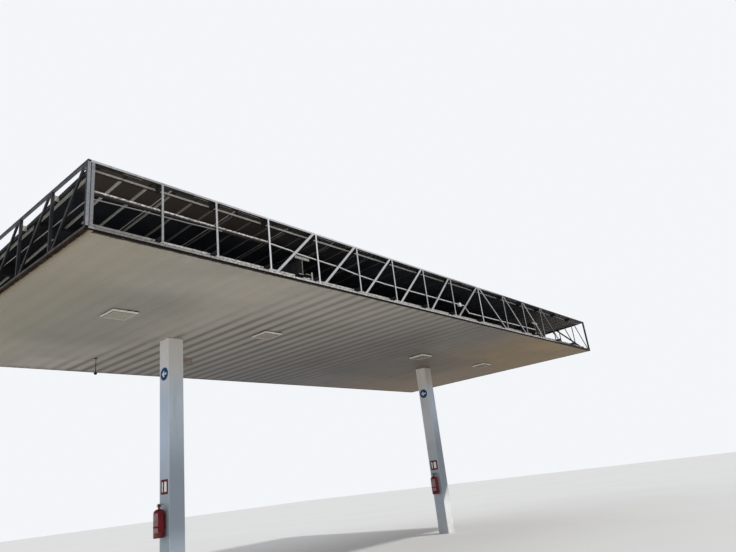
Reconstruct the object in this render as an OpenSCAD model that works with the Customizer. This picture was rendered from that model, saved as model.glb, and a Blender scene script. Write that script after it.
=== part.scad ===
// Filling station canopy: two clad columns carry two cross beams, a ribbed
// roof sheet, a panned soffit and an open fascia frame on each of its sides.
// Origin: centre of the left column, on the underside of its base plate.
// +X runs along the front from left to right, +Y to the back, +Z is up.

/* [Overall] */
// Length over the fascia frames
canopy_l = 14970; // [14400:10:15400]
// Width over the fascia frames, front to back
canopy_w = 6660; // [6300:10:7000]
// From the left column's centre to the left fascia
left_out = 3355; // [3000:5:3600]
// From the column line to the front fascia
front_out = 3670; // [3400:10:3900]
// Distance between the two columns
col_gap = 8150; // [7600:10:8600]
// From the column base to the underside of the soffit
clear_h = 4400; // [4000:10:5200]
// From the underside of the soffit to the top of the fascia frames
band_h = 885; // [840:5:960]

/* [Columns] */
// Side of the square base plate
base_w = 280; // [260:2:288]
// Thickness of the base plate
base_t = 25; // [16:1:40]
// Distance between anchor bolts, both ways
anchor_gap = 216; // [206:2:224]
// Diameter of an anchor bolt hole
anchor_d = 27; // [18:1:30]
// Side of the square post
post_w = 152; // [140:2:160]
// Wall of the square post
post_t = 10; // [6:1:14]
// Side of the plate on the post's top
cap_w = 240; // [200:5:280]
// Thickness of the plate on the post's top
cap_t = 20; // [12:1:30]
// Height of the stiffeners on the base plate
rib_h = 120; // [80:5:200]
// Thickness of the stiffeners
rib_t = 10; // [6:1:14]
// Side of the square sheet casing
casing_w = 296; // [294:2:320]
// Wall of the sheet casing
casing_t = 2; // [1:0.5:3]

/* [Beams] */
// From the underside of the soffit to the underside of the cross beams
beam_up = 140; // [120:5:160]
// Depth of a cross beam
beam_h = 290; // [280:5:330]
// Flange width of a cross beam
beam_b = 165; // [150:5:200]
// Flange thickness of a cross beam
beam_tf = 12; // [8:1:16]
// Web thickness of a cross beam
beam_tw = 8; // [6:1:12]
// From a fascia's face to the end of a cross beam
beam_set = 60; // [56:1:90]
// Thickness of the cleats on a cross beam's ends
cleat_t = 6; // [4:1:10]
// Width of the cleat on top of a cross beam's end
cleat_w = 300; // [240:10:340]
// Height of the cleat on top of a cross beam's end
cleat_h = 48; // [30:2:60]
// From a cross beam's middle to the stub that stands on the bottom chord
foot_x = 120; // [96:2:140]
// Height of that stub above the bottom chord
stub_h = 136; // [126:2:160]
// Depth of a roof beam
roof_beam_h = 160; // [140:1:178]
// Flange width of a roof beam
roof_beam_b = 82; // [70:2:110]
// Flange thickness of a roof beam
roof_beam_tf = 8; // [6:1:10]
// Web thickness of a roof beam
roof_beam_tw = 6; // [4:1:8]
// From the front fascia to the first roof beam
roof_beam_first = 1750; // [1600:10:1900]
// Distance between roof beams
roof_beam_gap = 1500; // [1400:10:1540]
// Side of the square stubs that carry the roof beams
seat_w = 100; // [80:5:120]
// Side of the plates on the stubs
seat_plate_w = 150; // [140:5:160]
// Thickness of the plates on the stubs
seat_plate_t = 10; // [8:1:12]
// Wall of the square stubs
seat_t = 5; // [4:1:8]

/* [Roof] */
// Fall of the roof towards the back, in percent
roof_fall = 4.5; // [3.5:0.1:4.8]
// Distance between roof ribs
rib_gap = 336; // [330:1:344]
// Height of a roof rib
deck_rib_h = 25; // [18:1:38]
// Width of a rib at its foot
deck_rib_foot = 52; // [46:2:70]
// Width of a rib at its crown
deck_rib_crown = 28; // [20:2:40]
// Thickness of the roof sheet
deck_t = 1.5; // [1:0.1:2]
// From a side fascia's face to the roof sheet's edge
deck_side = 83; // [76:1:100]
// From the roof sheet's left edge to its first rib
rib_first = 90; // [70:2:120]
// From a rib to the edge of the sheet that ends under it
lap_in = 64; // [50:2:80]
// From the front fascia's face to the roof sheet's front edge
deck_front = 48; // [42:1:70]
// Length of the roof sheet that overhangs the gutter
deck_lap = 48; // [20:2:80]
// Depth of the angle under the roof sheet's front edge
closure_h = 9; // [6:0.5:10]
// Width of that angle
closure_b = 30; // [20:1:40]
// From the front fascia's face to the front eave rail
eave_set = 150; // [120:5:200]
// From the top of the fascia frames down to the top of the front eave rail
eave_drop = 23; // [20:1:27]
// Width of the eave rails
rail_w = 30; // [25:1:38]
// Depth of the front eave rail and the low rails
rail_h = 28; // [25:1:38]
// From the underside of the soffit to the low rails
low_up = 130; // [110:2:136]
// Depth of the back eave rail
back_rail_h = 102; // [90:2:120]
// From the back fascia's face to the back eave rail
back_eave_set = 268; // [250:2:320]
// Depth of the sloping channels at the roof's sides
side_channel_h = 36; // [30:1:60]
// Flange width of the sloping channels
side_channel_b = 30; // [25:1:50]
// From a side fascia's face to its sloping channel
side_set = 90; // [86:1:110]
// Width of the gutter
gutter_w = 180; // [140:5:190]
// Height of the gutter
gutter_h = 58; // [40:1:60]

/* [Fascia frames] */
// Height of the tubes along the top of the frames
top_face = 28; // [25:1:40]
// Height of the tubes along the foot of the frames
bottom_face = 28; // [25:1:40]
// Width of both tubes
chord_in = 38; // [37:1:42]
// Face of the verticals
post_leg = 30; // [25:1:34]
// Inner leg of the front and back verticals
post_in = 24; // [20:1:30]
// Inner leg of the side frames' verticals and diagonals
side_in = 36; // [24:1:37]
// Both legs of the posts at the corners
corner_leg = 38; // [30:1:44]
// Gap between a front frame's corner post and the side frame
corner_gap = 9; // [4:1:14]
// Face of the diagonals
brace_leg = 38; // [25:1:45]
// Inner leg of the front and back diagonals
brace_in = 24; // [20:1:30]
// Thickness of the steel in the frames
angle_t = 3; // [2:0.5:4]
// Width of the first open bay beside the left corner
bay_a = 908; // [850:1:950]
// Width of the second open bay
bay_b = 808; // [760:1:880]
// Width of the third open bay
bay_c = 915; // [850:1:950]
// Width of the next five bays
bay_next = 985; // [930:1:1020]
// Width of the two bays near the middle
bay_mid = 1135; // [1060:1:1200]
// Number of bays in a side frame
side_bays = 7; // [6:1:8]
// From a vertical to the foot of a diagonal
foot_set = 90; // [60:5:130]
// From a vertical to the head of a diagonal
head_set = 50; // [46:1:80]
// Height of the arms behind the front and back frames
arm_h = 60; // [40:2:70]
// Height of the arms behind the side frames
side_arm_h = 76; // [50:2:80]
// Wall of the arms
arm_t = 2; // [2:0.5:3]
// Height of the channel behind the open bays
mid_h = 44; // [36:2:60]
// Width of that channel
mid_b = 38; // [30:1:45]
// From the underside of the soffit to that channel
mid_up = 472; // [450:2:500]

/* [Soffit] */
// Distance between the seams of the soffit pans
pan_gap = 300; // [280:5:320]
// Width of the pan beside the left fascia
pan_first = 295; // [200:5:300]
// Depth of a soffit pan
pan_h = 20; // [18:1:26]
// Sheet of a soffit pan
pan_t = 1.5; // [1:0.1:2]
// Half width and depth of the groove between two pans
groove = 6; // [4:1:10]
// Sheet of the soffit's edge trim
trim_t = 2; // [1:0.5:3]
// Upper flange of the soffit's edge trim
trim_in = 40; // [30:1:60]
// Lower flange of the edge trim along the sides
trim_side = 92; // [60:2:120]
// Lower flange of the edge trim along the front and back
trim_front = 20; // [12:1:40]
// Width of the rails above the soffit
carrier_w = 38; // [30:1:50]
// Height of the rails above the soffit
carrier_h = 40; // [30:1:60]
// Leg of the hangers that carry the rails
hanger_leg = 25; // [20:1:35]
// Number of hangers on each rail
hanger_n = 10; // [9:1:12]
// From a side fascia to the first hanger
hanger_in = 700; // [500:10:900]

/* [Fittings] */
// Side of a soffit light
light_w = 410; // [380:5:460]
// Drop of a soffit light below the soffit
light_h = 48; // [40:1:70]
// From the column line to the row of lights
light_y = -1080; // [-1400:10:-600]
// Diameter of an extinguisher
bottle_d = 180; // [140:2:190]
// Height of an extinguisher's bottle
bottle_h = 450; // [420:5:600]
// Height of the bottle's foot above the column base
bottle_z = 995; // [800:5:1100]
// Diameter of the conduit along the front frame
conduit_d = 20; // [16:1:24]
// Diameter of the thin line behind the left corner
line_d = 12; // [8:1:16]
// Length of the rod that hangs behind the left column
drop_l = 300; // [200:5:330]

/* [Hidden] */
$fn = 48;

// Outer faces and levels
x0 = -left_out;
x1 = x0 + canopy_l;
y0 = -front_out;
y1 = y0 + canopy_w;
soffit_z = clear_h;
pan_top = soffit_z + pan_h;
chord_z = pan_top + trim_t;
top_z = soffit_z + band_h;
beam_z = soffit_z + beam_up;
beam_top = beam_z + beam_h;
low_z = soffit_z + low_up;

// The roof's plane lies on the rear edge of the front eave rail
eave_y = y0 + eave_set + rail_w;
eave_top = top_z - eave_drop;
back_rail_y = y1 - back_eave_set;
slope = atan(roof_fall / 100);
function roof_z(y) = eave_top - (y - eave_y) * roof_fall / 100;
function along_roof(y) = (y - eave_y) / cos(slope);
back_rail_top = roof_z(back_rail_y + rail_w);
back_arm_top = back_rail_top - back_rail_h + 0.65 * arm_h;
roof_beam_ys = [for (i = [0:2]) y0 + roof_beam_first + i * roof_beam_gap];
function roof_beam_z(y) = roof_z(y + roof_beam_b / 2) - roof_beam_h;

// Positions along the frames
function total(v, n) = n <= 0 ? 0 : v[n - 1] + total(v, n - 1);
open_widths = [bay_a, bay_b, bay_c];
open_bays = len(open_widths);
next_bays = 5;
mid_bays = 2;
last_bays = 5;
front_bays = open_bays + next_bays + mid_bays + last_bays;
front_x = x0 + chord_in;
front_l = canopy_l - 2 * chord_in;
open_l = total(open_widths, open_bays);
bay_last = (front_l - open_l - next_bays * bay_next - mid_bays * bay_mid) / last_bays;
front_widths = [for (i = [0:front_bays - 1])
    i < open_bays ? open_widths[i] :
    i < open_bays + next_bays ? bay_next :
    i < open_bays + next_bays + mid_bays ? bay_mid : bay_last];
rising_bays = 6;
front_leans = [for (i = [0:front_bays - 1]) i < open_bays ? 0 : i < open_bays + rising_bays ? 1 : -1];
side_widths = [for (i = [0:side_bays - 1]) canopy_w / side_bays];
left_leans = [for (i = [0:side_bays - 1]) -1];
right_leans = [for (i = [0:side_bays - 1]) 1];

steel_grey = [0.62, 0.61, 0.58];
dark_steel = [0.28, 0.25, 0.23];
white = [0.90, 0.89, 0.85];

// Profiles and helpers
module along_x(from, l) translate([from, 0, 0]) rotate([90, 0, 90]) linear_extrude(l) children();
module along_y(from, l) translate([0, from + l, 0]) rotate([90, 0, 0]) linear_extrude(l) children();
module on_roof() translate([0, eave_y, eave_top]) rotate([-slope, 0, 0]) children();

module i_section(h, b, tf, tw) {
    translate([-b / 2, 0]) square([b, tf]);
    translate([-b / 2, h - tf]) square([b, tf]);
    translate([-tw / 2, tf / 2]) square([tw, h - tf]);
}

module tube_section(w, h, t) {
    difference() {
        square([w, h]);
        translate([t, t]) square([w - 2 * t, h - 2 * t]);
    }
}

module square_tube(w, t, h) {
    translate([-w / 2, -w / 2, 0]) linear_extrude(h) tube_section(w, w, t);
}

module plate(w, d, t) {
    translate([-w / 2, -d / 2, 0]) cube([w, d, t]);
}

function reversed(v) = [for (i = [len(v) - 1:-1:0]) v[i]];
function raised(v, t) = [for (p = v) [p[0], p[1] + t]];
module folded_sheet(line, t) polygon(concat(line, reversed(raised(line, t))));

// Columns
module base_plate(x) {
    color(dark_steel) translate([x, 0, 0]) difference() {
        plate(base_w, base_w, base_t);
        for (i = [-1, 1], j = [-1, 1])
            translate([i * anchor_gap / 2, j * anchor_gap / 2, -1])
                cylinder(d = anchor_d, h = base_t + 2);
    }
}

module stiffener() {
    reach = (base_w - post_w) / 2 - 6;
    translate([post_w / 2 - 1, rib_t / 2, base_t]) rotate([90, 0, 0]) linear_extrude(rib_t)
        polygon([[0, 0], [reach, 0], [reach, rib_h / 5], [reach / 4, rib_h], [0, rib_h]]);
}

module post(x) {
    color(dark_steel) translate([x, 0, 0]) {
        translate([0, 0, base_t]) square_tube(post_w, post_t, beam_z - cap_t - base_t);
        translate([0, 0, beam_z - cap_t]) plate(cap_w, cap_w, cap_t);
        for (a = [0:90:270]) rotate([0, 0, a]) stiffener();
    }
}

module casing(x) {
    color(white) translate([x, 0, 0]) square_tube(casing_w, casing_t, soffit_z);
}

// Cross beam with open ends, the stubs that carry the roof beams, and at each
// end a cleat on its top and a stub that stands on the frame's bottom chord
module beam_end() {
    foot_y = -beam_set + angle_t;
    translate([-cleat_w / 2, -cleat_t, beam_top + cleat_t - cleat_h]) cube([cleat_w, cleat_t + 1, cleat_h]);
    translate([foot_x, foot_y, chord_z + bottom_face]) cube([post_leg, cleat_t, stub_h]);
    translate([0, foot_y, beam_z - cleat_t]) cube([foot_x + post_leg, 2 * beam_set - angle_t, cleat_t + 1]);
}

module cross_beam(x) {
    front = y0 + beam_set;
    back = y1 - beam_set;
    color(dark_steel) translate([x, 0, 0]) {
        along_y(front, back - front) translate([0, beam_z]) i_section(beam_h, beam_b, beam_tf, beam_tw);
        translate([0, front, 0]) beam_end();
        translate([0, back, 0]) mirror([0, 1, 0]) beam_end();
        for (y = roof_beam_ys) {
            seat_top = roof_beam_z(y);
            translate([0, y, beam_top]) {
                plate(seat_plate_w, seat_plate_w, seat_plate_t);
                square_tube(seat_w, seat_t, seat_top - beam_top);
            }
            translate([0, y, seat_top - seat_plate_t]) plate(seat_plate_w, seat_plate_w, seat_plate_t);
        }
    }
}

module roof_beam(y) {
    start = x0 + side_set + side_channel_b;
    color(dark_steel) translate([0, y, roof_beam_z(y)])
        along_x(start, canopy_l - 2 * (side_set + side_channel_b))
            i_section(roof_beam_h, roof_beam_b, roof_beam_tf, roof_beam_tw);
}

// Open fascia frame, drawn along +X with its face on the plane y = 0. Its
// chords are tubes, its verticals and diagonals angles between them. The face
// legs make one flat outline, and the inner legs stand behind it
chord_gap = top_z - chord_z;
brace_foot_z = bottom_face / 2;
brace_head_z = chord_gap - top_face / 2;
leg_from = bottom_face - angle_t / 2;
leg_h = chord_gap - top_face - bottom_face + angle_t;
function brace_turn(run) = atan2(brace_head_z - brace_foot_z, run);
function brace_l(run) = norm([run, brace_head_z - brace_foot_z]) + 2 * brace_leg;
function stations(w, edge) = [for (i = [0:len(w)])
    i == 0 ? edge + corner_leg / 2 : i == len(w) ? total(w, i) - edge - corner_leg / 2 : total(w, i)];
front_us = stations(front_widths, corner_gap);
side_us = stations(side_widths, 0);

module chord_tube(l, z, h) {
    for (up = [0, h - angle_t]) translate([0, angle_t / 2, z + up])
        cube([l, chord_in - angle_t / 2, angle_t]);
    translate([0, chord_in - angle_t, z + angle_t / 2]) cube([l, angle_t, h - angle_t]);
}

module brace_face(u_foot, u_head) {
    run = u_head - u_foot;
    intersection() {
        translate([min(u_foot, u_head) - brace_leg, brace_foot_z])
            square([abs(run) + 2 * brace_leg, brace_head_z - brace_foot_z]);
        translate([u_foot, brace_foot_z]) rotate(brace_turn(run))
            translate([-brace_leg, -brace_leg / 2]) square([brace_l(run), brace_leg]);
    }
}

module brace_inner(u_foot, u_head, depth) {
    run = u_head - u_foot;
    intersection() {
        translate([min(u_foot, u_head) - brace_leg, 0, leg_from])
            cube([abs(run) + 2 * brace_leg, depth, leg_h]);
        translate([u_foot, angle_t / 2, brace_foot_z]) rotate([0, -brace_turn(run), 0])
            translate([-brace_leg, 0, -brace_leg / 2]) cube([brace_l(run), 2 * depth, angle_t]);
    }
}

module fascia_frame(widths, leans, edge, post_depth, brace_depth, leg_first) {
    us = stations(widths, edge);
    n = len(widths);
    l = total(widths, n);
    function wide(i) = i == 0 || i == n ? corner_leg : post_leg;
    function leg_u(i) = i == 0 ? edge :
        us[i] + (i < n && leg_first ? -wide(i) / 2 : wide(i) / 2 - angle_t);
    function foot_u(i) = leans[i] > 0 ? us[i] + foot_set : us[i + 1] - foot_set;
    function head_u(i) = leans[i] > 0 ? us[i + 1] - head_set : us[i] + head_set;
    translate([0, angle_t, 0]) rotate([90, 0, 0]) linear_extrude(angle_t) {
        square([l, bottom_face]);
        translate([0, chord_gap - top_face]) square([l, top_face]);
        for (i = [0:n]) translate([us[i] - wide(i) / 2, angle_t])
            square([wide(i), chord_gap - 2 * angle_t]);
        for (i = [0:n - 1]) if (leans[i] != 0) brace_face(foot_u(i), head_u(i));
    }
    chord_tube(l, 0, bottom_face);
    chord_tube(l, chord_gap - top_face, top_face);
    for (i = [0:n]) translate([leg_u(i), angle_t / 2, leg_from])
        cube([angle_t, (i == 0 || i == n ? chord_in : post_depth) - angle_t / 2, leg_h]);
    for (i = [0:n - 1]) if (leans[i] != 0) brace_inner(foot_u(i), head_u(i), brace_depth);
}

// Channel that stiffens the open bays, with its open side inward
module open_bay_channel() {
    along_x(0, open_l + post_leg / 2) translate([post_in, mid_up - (chord_z - soffit_z)])
        difference() {
            square([mid_b, mid_h]);
            translate([angle_t, angle_t]) square([mid_b, mid_h - 2 * angle_t]);
        }
}

module on_front() translate([front_x, y0, chord_z]) children();
module on_back() translate([front_x, y1, chord_z]) mirror([0, 1, 0]) children();
module on_left() translate([x0, y0, chord_z]) rotate([0, 0, 90]) mirror([0, 1, 0]) children();
module on_right() translate([x1, y0, chord_z]) rotate([0, 0, 90]) children();

module long_frame() fascia_frame(front_widths, front_leans, corner_gap, post_in, brace_in, false);
module side_frame(leans) fascia_frame(side_widths, leans, 0, side_in, side_in, true);

module front_fascia_frame() {
    color(steel_grey) on_front() {
        long_frame();
        open_bay_channel();
    }
}

module back_fascia_frame() color(steel_grey) on_back() long_frame();
module left_fascia_frame() color(steel_grey) on_left() side_frame(left_leans);
module right_fascia_frame() color(steel_grey) on_right() side_frame(right_leans);

// Arms: rectangular tubes that sit in the corner of each vertical's angle
module arm(u, z_top, h, l) {
    translate([u - post_leg / 2, 0, z_top - chord_z - h])
        along_y(angle_t, l - angle_t) tube_section(post_leg - angle_t, h, arm_t);
}

module low_arms() for (i = [1:front_bays - 1]) arm(front_us[i], low_z + rail_h, arm_h, eave_set);

module front_arms() {
    color(steel_grey) on_front() {
        for (i = [1:front_bays - 1]) arm(front_us[i], top_z - top_face, arm_h, eave_set);
        low_arms();
    }
}

module back_arms() {
    color(steel_grey) on_back() {
        for (i = [1:front_bays - 1]) arm(front_us[i], back_arm_top, arm_h, back_eave_set - rail_w);
        low_arms();
    }
}

arm_ease = 3;
module side_arms() for (i = [1:side_bays - 1])
    arm(side_us[i] + angle_t, roof_z(y0 + side_us[i]) - arm_ease, side_arm_h, side_set);
module left_arms() color(steel_grey) on_left() side_arms();
module right_arms() color(steel_grey) on_right() side_arms();

// Eave rails and the sloping channels that close the roof's sides
module eave_rail(y, z_top, h) {
    color(steel_grey) translate([0, y, z_top - h])
        along_x(front_x, front_l) tube_section(rail_w, h, arm_t);
}

// Low rails, level with the cross beams and cut where they meet them
module low_rail(y) {
    cuts = [front_x, each [for (x = [0, col_gap]) each [x - beam_b / 2, x + beam_b / 2]], front_x + front_l];
    for (i = [0:2:len(cuts) - 2]) translate([0, y, low_z])
        along_x(cuts[i], cuts[i + 1] - cuts[i]) tube_section(rail_w, rail_h, arm_t);
}

module low_rails() {
    color(steel_grey) {
        low_rail(y0 + eave_set);
        low_rail(y1 - eave_set - rail_w);
    }
}

module channel_section(h, b, t) {
    difference() {
        square([b, h]);
        translate([t, t]) square([b, h - 2 * t]);
    }
}

module side_channel() {
    ease = 2;
    on_roof() along_y(ease, along_roof(back_rail_y) - 2 * ease)
        translate([0, -side_channel_h]) channel_section(side_channel_h, side_channel_b, angle_t);
}

module left_side_channel() color(dark_steel) translate([x0 + side_set, 0, 0]) side_channel();
module right_side_channel() {
    color(dark_steel) translate([x1 - side_set, 0, 0]) mirror([1, 0, 0]) side_channel();
}

// Roof sheet: each sheet has three ribs, and its fourth covers the next
// sheet's first
rib_n = 3;
cover = rib_n * rib_gap;
lip = 6;
foot = deck_rib_foot / 2;
crown = deck_rib_crown / 2;
deck_y = y0 + deck_front;
deck_start = along_roof(deck_y);
deck_l = along_roof(back_rail_y + rail_w + deck_lap) - deck_start;
first_rib_x = x0 + deck_side + rib_first;
sheet_n = floor((x1 - deck_side - first_rib_x) / cover);
strip_l = x1 - deck_side - first_rib_x - sheet_n * cover;
strip_ribs = 1 + max(0, floor((strip_l - foot - lip) / rib_gap));
function rib(x, z) = [[x - foot, z], [x - crown, z + deck_rib_h], [x + crown, z + deck_rib_h], [x + foot, z]];
function ribs(n) = [for (i = [0:n - 1], p = rib(i * rib_gap, 0)) p];
function start(i) = i == 0 ? rib_first : lap_in;
function full_line(i) = concat(
    [[-start(i), 0]],
    ribs(rib_n),
    [[cover - lap_in - 2 * deck_t, 0], [cover - lap_in - deck_t / 2, deck_t]],
    rib(cover, deck_t),
    [[cover + foot + lip, deck_t]]);
strip_line = concat([[-lap_in, 0]], ribs(strip_ribs), [[strip_l, 0]]);

module roof_sheets(from, to) {
    color(dark_steel) on_roof() along_y(deck_start, deck_l) {
        for (i = [from:to]) translate([first_rib_x + i * cover, 0]) folded_sheet(full_line(i), deck_t);
        if (to == sheet_n - 1) translate([first_rib_x + sheet_n * cover, 0]) folded_sheet(strip_line, deck_t);
    }
}

// Angle under the front edge of the roof sheet
module front_flashing() {
    color(steel_grey) on_roof() along_x(x0 + deck_side, canopy_l - 2 * deck_side) translate([deck_start, 0]) {
        translate([0, -deck_t]) square([closure_b, deck_t]);
        translate([0, -closure_h]) square([deck_t, closure_h]);
    }
}

module back_gutter() {
    l = canopy_l - 2 * (chord_in + lip);
    color(steel_grey) translate([x0 + chord_in + lip, back_rail_y + rail_w + 2, back_arm_top]) {
        along_x(0, l) {
            square([gutter_w, deck_t]);
            square([deck_t, gutter_h]);
            translate([gutter_w - deck_t, 0]) square([deck_t, gutter_h]);
            translate([gutter_w - 3 * lip, gutter_h - deck_t]) square([3 * lip, deck_t]);
        }
        for (x = [0, l - deck_t]) translate([x, 0, 0]) cube([deck_t, gutter_w, gutter_h]);
    }
}

// Soffit pans, each with upstands that meet its neighbours'
pan_n = 1 + ceil((canopy_l - pan_first) / pan_gap);
function seam(i) = i <= 0 ? x0 + trim_t : i >= pan_n ? x1 - trim_t : x0 + pan_first + (i - 1) * pan_gap;
fold = pan_t * tan(22.5);
function pan_under(a, b) = [for (i = [a:b])
    each concat(
        i > a ? [[seam(i) - groove, 0]] : [],
        [[seam(i), groove]],
        i < b ? [[seam(i) + groove, 0]] : [])];
function upstand(i, side) = [
    [seam(i) + side * (groove + fold), pan_t],
    [seam(i) + side * pan_t, groove + fold],
    [seam(i) + side * pan_t, pan_h]];
function pan_over(a, b) = [for (i = [b:-1:a])
    each concat(
        i < b ? upstand(i, 1) : [[seam(i), pan_h]],
        i > a ? reversed(upstand(i, -1)) : [[seam(i), pan_h]])];

module soffit(a, b) {
    hole = post_w + 12;
    color(white) difference() {
        translate([0, 0, soffit_z]) along_y(y0 + trim_t, canopy_w - 2 * trim_t)
            polygon(concat(pan_under(a, b), pan_over(a, b)));
        for (x = [0, col_gap]) translate([x, 0, soffit_z - 1]) plate(hole, hole, pan_h + 2);
    }
}

// Edge trim: a channel round the soffit that holds the pans' ends
module soffit_edge_trim() {
    color([0.20, 0.14, 0.11]) translate([0, 0, soffit_z]) difference() {
        translate([x0, y0, -trim_t]) cube([canopy_l, canopy_w, pan_h + 2 * trim_t]);
        translate([x0 + trim_t, y0 + trim_t, 0]) cube([canopy_l - 2 * trim_t, canopy_w - 2 * trim_t, pan_h]);
        translate([x0 + trim_in, y0 + trim_in, pan_h - 1])
            cube([canopy_l - 2 * trim_in, canopy_w - 2 * trim_in, trim_t + 2]);
        translate([x0 + trim_side, y0 + trim_front, -trim_t - 1])
            cube([canopy_l - 2 * trim_side, canopy_w - 2 * trim_front, trim_t + 2]);
    }
}

// Rail above the soffit, with the hangers that hold it to its roof beam
module soffit_rail(y) {
    hanger_h = roof_beam_z(y) - pan_top - carrier_h;
    pitch = (canopy_l - 2 * hanger_in) / (hanger_n - 1);
    color(steel_grey) translate([0, y, pan_top]) {
        along_x(front_x, front_l) translate([-carrier_w / 2, 0]) tube_section(carrier_w, carrier_h, arm_t);
        for (i = [0:hanger_n - 1]) translate([x0 + hanger_in + i * pitch, 0, carrier_h - 1]) {
            cube([hanger_leg, angle_t, hanger_h + 1]);
            cube([angle_t, hanger_leg, hanger_h + 1]);
        }
    }
}

// Soffit light: a square frame on a smaller neck, with its lens set back
light_xs = [-1590, 1410, 6540, 9640];
module soffit_light(x) {
    neck_h = light_h / 3;
    body_h = light_h - neck_h;
    rim = 28;
    color([0.85, 0.85, 0.82]) translate([x, light_y, soffit_z - light_h]) difference() {
        union() {
            plate(light_w, light_w, body_h);
            translate([0, 0, body_h - 1]) plate(light_w - 3 * rim, light_w - 3 * rim, neck_h + 1);
        }
        translate([0, 0, -1]) plate(light_w - 2 * rim, light_w - 2 * rim, 6);
    }
}

// Conduit behind the front frame's verticals, and a thinner line that turns
// the left corner and goes on behind the left frame
elbow = 1.3;
conduit_y = y0 + post_in + conduit_d / 2;
line_y = y0 + post_in + line_d / 2;
line_x = x0 + side_in + line_d / 2;
mid_z = soffit_z + mid_up + mid_h / 2;
box_w = 70;
box_t = 45;
cover_t = 4;
box_x = 4515;
box_z = soffit_z + 350;
line_z = soffit_z + 395;
route = [
    [front_x + open_l + post_leg / 2, mid_z],
    [-250, soffit_z + 473],
    [-150, soffit_z + 455],
    [820, soffit_z + 425],
    [1190, soffit_z + 387],
    [1605, soffit_z + 364],
    [2010, box_z],
    [box_x - box_w / 2, box_z]
];
route_after = [
    [box_x + box_w / 2, box_z],
    [4680, box_z],
    [4845, soffit_z + 213],
    [5900, soffit_z + 219],
    [col_gap - beam_b / 2, soffit_z + 232]
];
line_front = [
    [-1500, mid_z - mid_h / 2 - line_d / 2],
    [-2010, soffit_z + 443],
    [-2700, soffit_z + 428],
    [-3200, soffit_z + 406],
    [line_x, line_z]
];

module conduit_run(points, d) {
    inset = elbow * d / 4;
    last = len(points) - 2;
    for (i = [0:last]) {
        run = points[i + 1] - points[i];
        from = i > 0 ? inset : 0;
        to = i < last ? norm(run) - inset : norm(run);
        translate([points[i][0], 0, points[i][1]]) {
            rotate([0, 90 - atan2(run[1], run[0]), 0])
                translate([0, 0, from]) cylinder(d = d, h = to - from);
            if (i > 0) sphere(d = elbow * d);
        }
    }
}

module conduit() {
    color([0.75, 0.75, 0.72]) {
        translate([0, conduit_y, 0]) {
            conduit_run(route, conduit_d);
            conduit_run(route_after, conduit_d);
        }
        translate([0, line_y, 0]) conduit_run(line_front, line_d);
        translate([line_x, line_y, line_z]) {
            sphere(d = elbow * line_d);
            rotate([-90, 0, 0]) translate([0, 0, line_d / 3])
                cylinder(d = line_d, h = side_us[side_bays - 1] - post_in - line_d);
        }
    }
}

module junction_box() {
    color([0.80, 0.80, 0.78]) translate([box_x - box_w / 2, y0 + post_in, box_z - box_w / 2]) {
        cube([box_w, box_t, box_w]);
        translate([-cover_t, -cover_t, -cover_t]) cube([box_w + 2 * cover_t, cover_t, box_w + 2 * cover_t]);
    }
}

// Thin rod with a small dome, hung from the soffit behind the left column
drop_at = [-560, 1780];
module drop_rod() {
    dome_d = 64;
    disc_d = 70;
    disc_t = 8;
    rod_d = 12;
    color([0.15, 0.15, 0.16]) translate([drop_at[0], drop_at[1], soffit_z]) {
        translate([0, 0, -disc_t]) cylinder(d = disc_d, h = disc_t);
        translate([0, 0, -drop_l]) cylinder(d = rod_d, h = drop_l);
        translate([0, 0, -drop_l]) intersection() {
            sphere(d = dome_d);
            translate([0, 0, -dome_d / 2]) cylinder(d = dome_d, h = dome_d / 2 + disc_t);
        }
    }
}

// Extinguisher with its valve, lever and hose, on a bracket
module extinguisher(x) {
    r = bottle_d / 2;
    neck_r = 18;
    shoulder = r * 0.7;
    stand = 12;
    color([0.72, 0.10, 0.08]) translate([x - casing_w / 2 - stand - r, 0, bottle_z]) {
        rotate_extrude() polygon(concat(
            [[0, 0], [r - 8, 0], [r, 8], [r, bottle_h - shoulder]],
            [for (a = [10:10:80]) [neck_r + (r - neck_r) * cos(a), bottle_h - shoulder + shoulder * sin(a)]],
            [[neck_r, bottle_h], [neck_r, bottle_h + 30], [0, bottle_h + 30]]));
        translate([-22, -22, bottle_h + 29]) cube([44, 44, 36]);
        translate([-30, -110, bottle_h + 40]) cube([18, 90, 8]);
        translate([-12, -120, bottle_h + 64]) cube([24, 142, 8]);
        translate([-12, -110, bottle_h + 78]) cube([24, 132, 5]);
        translate([-12, 6, bottle_h + 64]) cube([24, 16, 19]);
        translate([r - 2, -30, bottle_h * 0.3]) cube([stand + 2, 60, bottle_h * 0.5]);
        translate([0, 0, bottle_h * 0.35]) difference() {
            cylinder(r = r + 3, h = 30);
            translate([0, 0, -1]) cylinder(r = r - 1, h = 32);
        }
    }
}

base_plate(0);  // left_base_plate
base_plate(col_gap);  // right_base_plate
post(0);  // left_post
post(col_gap);  // right_post
casing(0);  // left_casing
casing(col_gap);  // right_casing
cross_beam(0);  // left_cross_beam
cross_beam(col_gap);  // right_cross_beam
roof_beam(roof_beam_ys[0]);  // front_roof_beam
roof_beam(roof_beam_ys[1]);  // middle_roof_beam
roof_beam(roof_beam_ys[2]);  // back_roof_beam
front_fascia_frame();
back_fascia_frame();
left_fascia_frame();
right_fascia_frame();
front_arms();
back_arms();
left_arms();
right_arms();
eave_rail(y0 + eave_set, eave_top, rail_h);  // front_eave_rail
eave_rail(back_rail_y, back_rail_top, back_rail_h);  // back_eave_rail
low_rails();
left_side_channel();
right_side_channel();
roof_sheets(0, 4);  // roof_sheets_left
roof_sheets(5, 9);  // roof_sheets_middle
roof_sheets(10, sheet_n - 1);  // roof_sheets_right
front_flashing();
back_gutter();
soffit(0, 17);  // soffit_left
soffit(17, 33);  // soffit_middle
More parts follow.
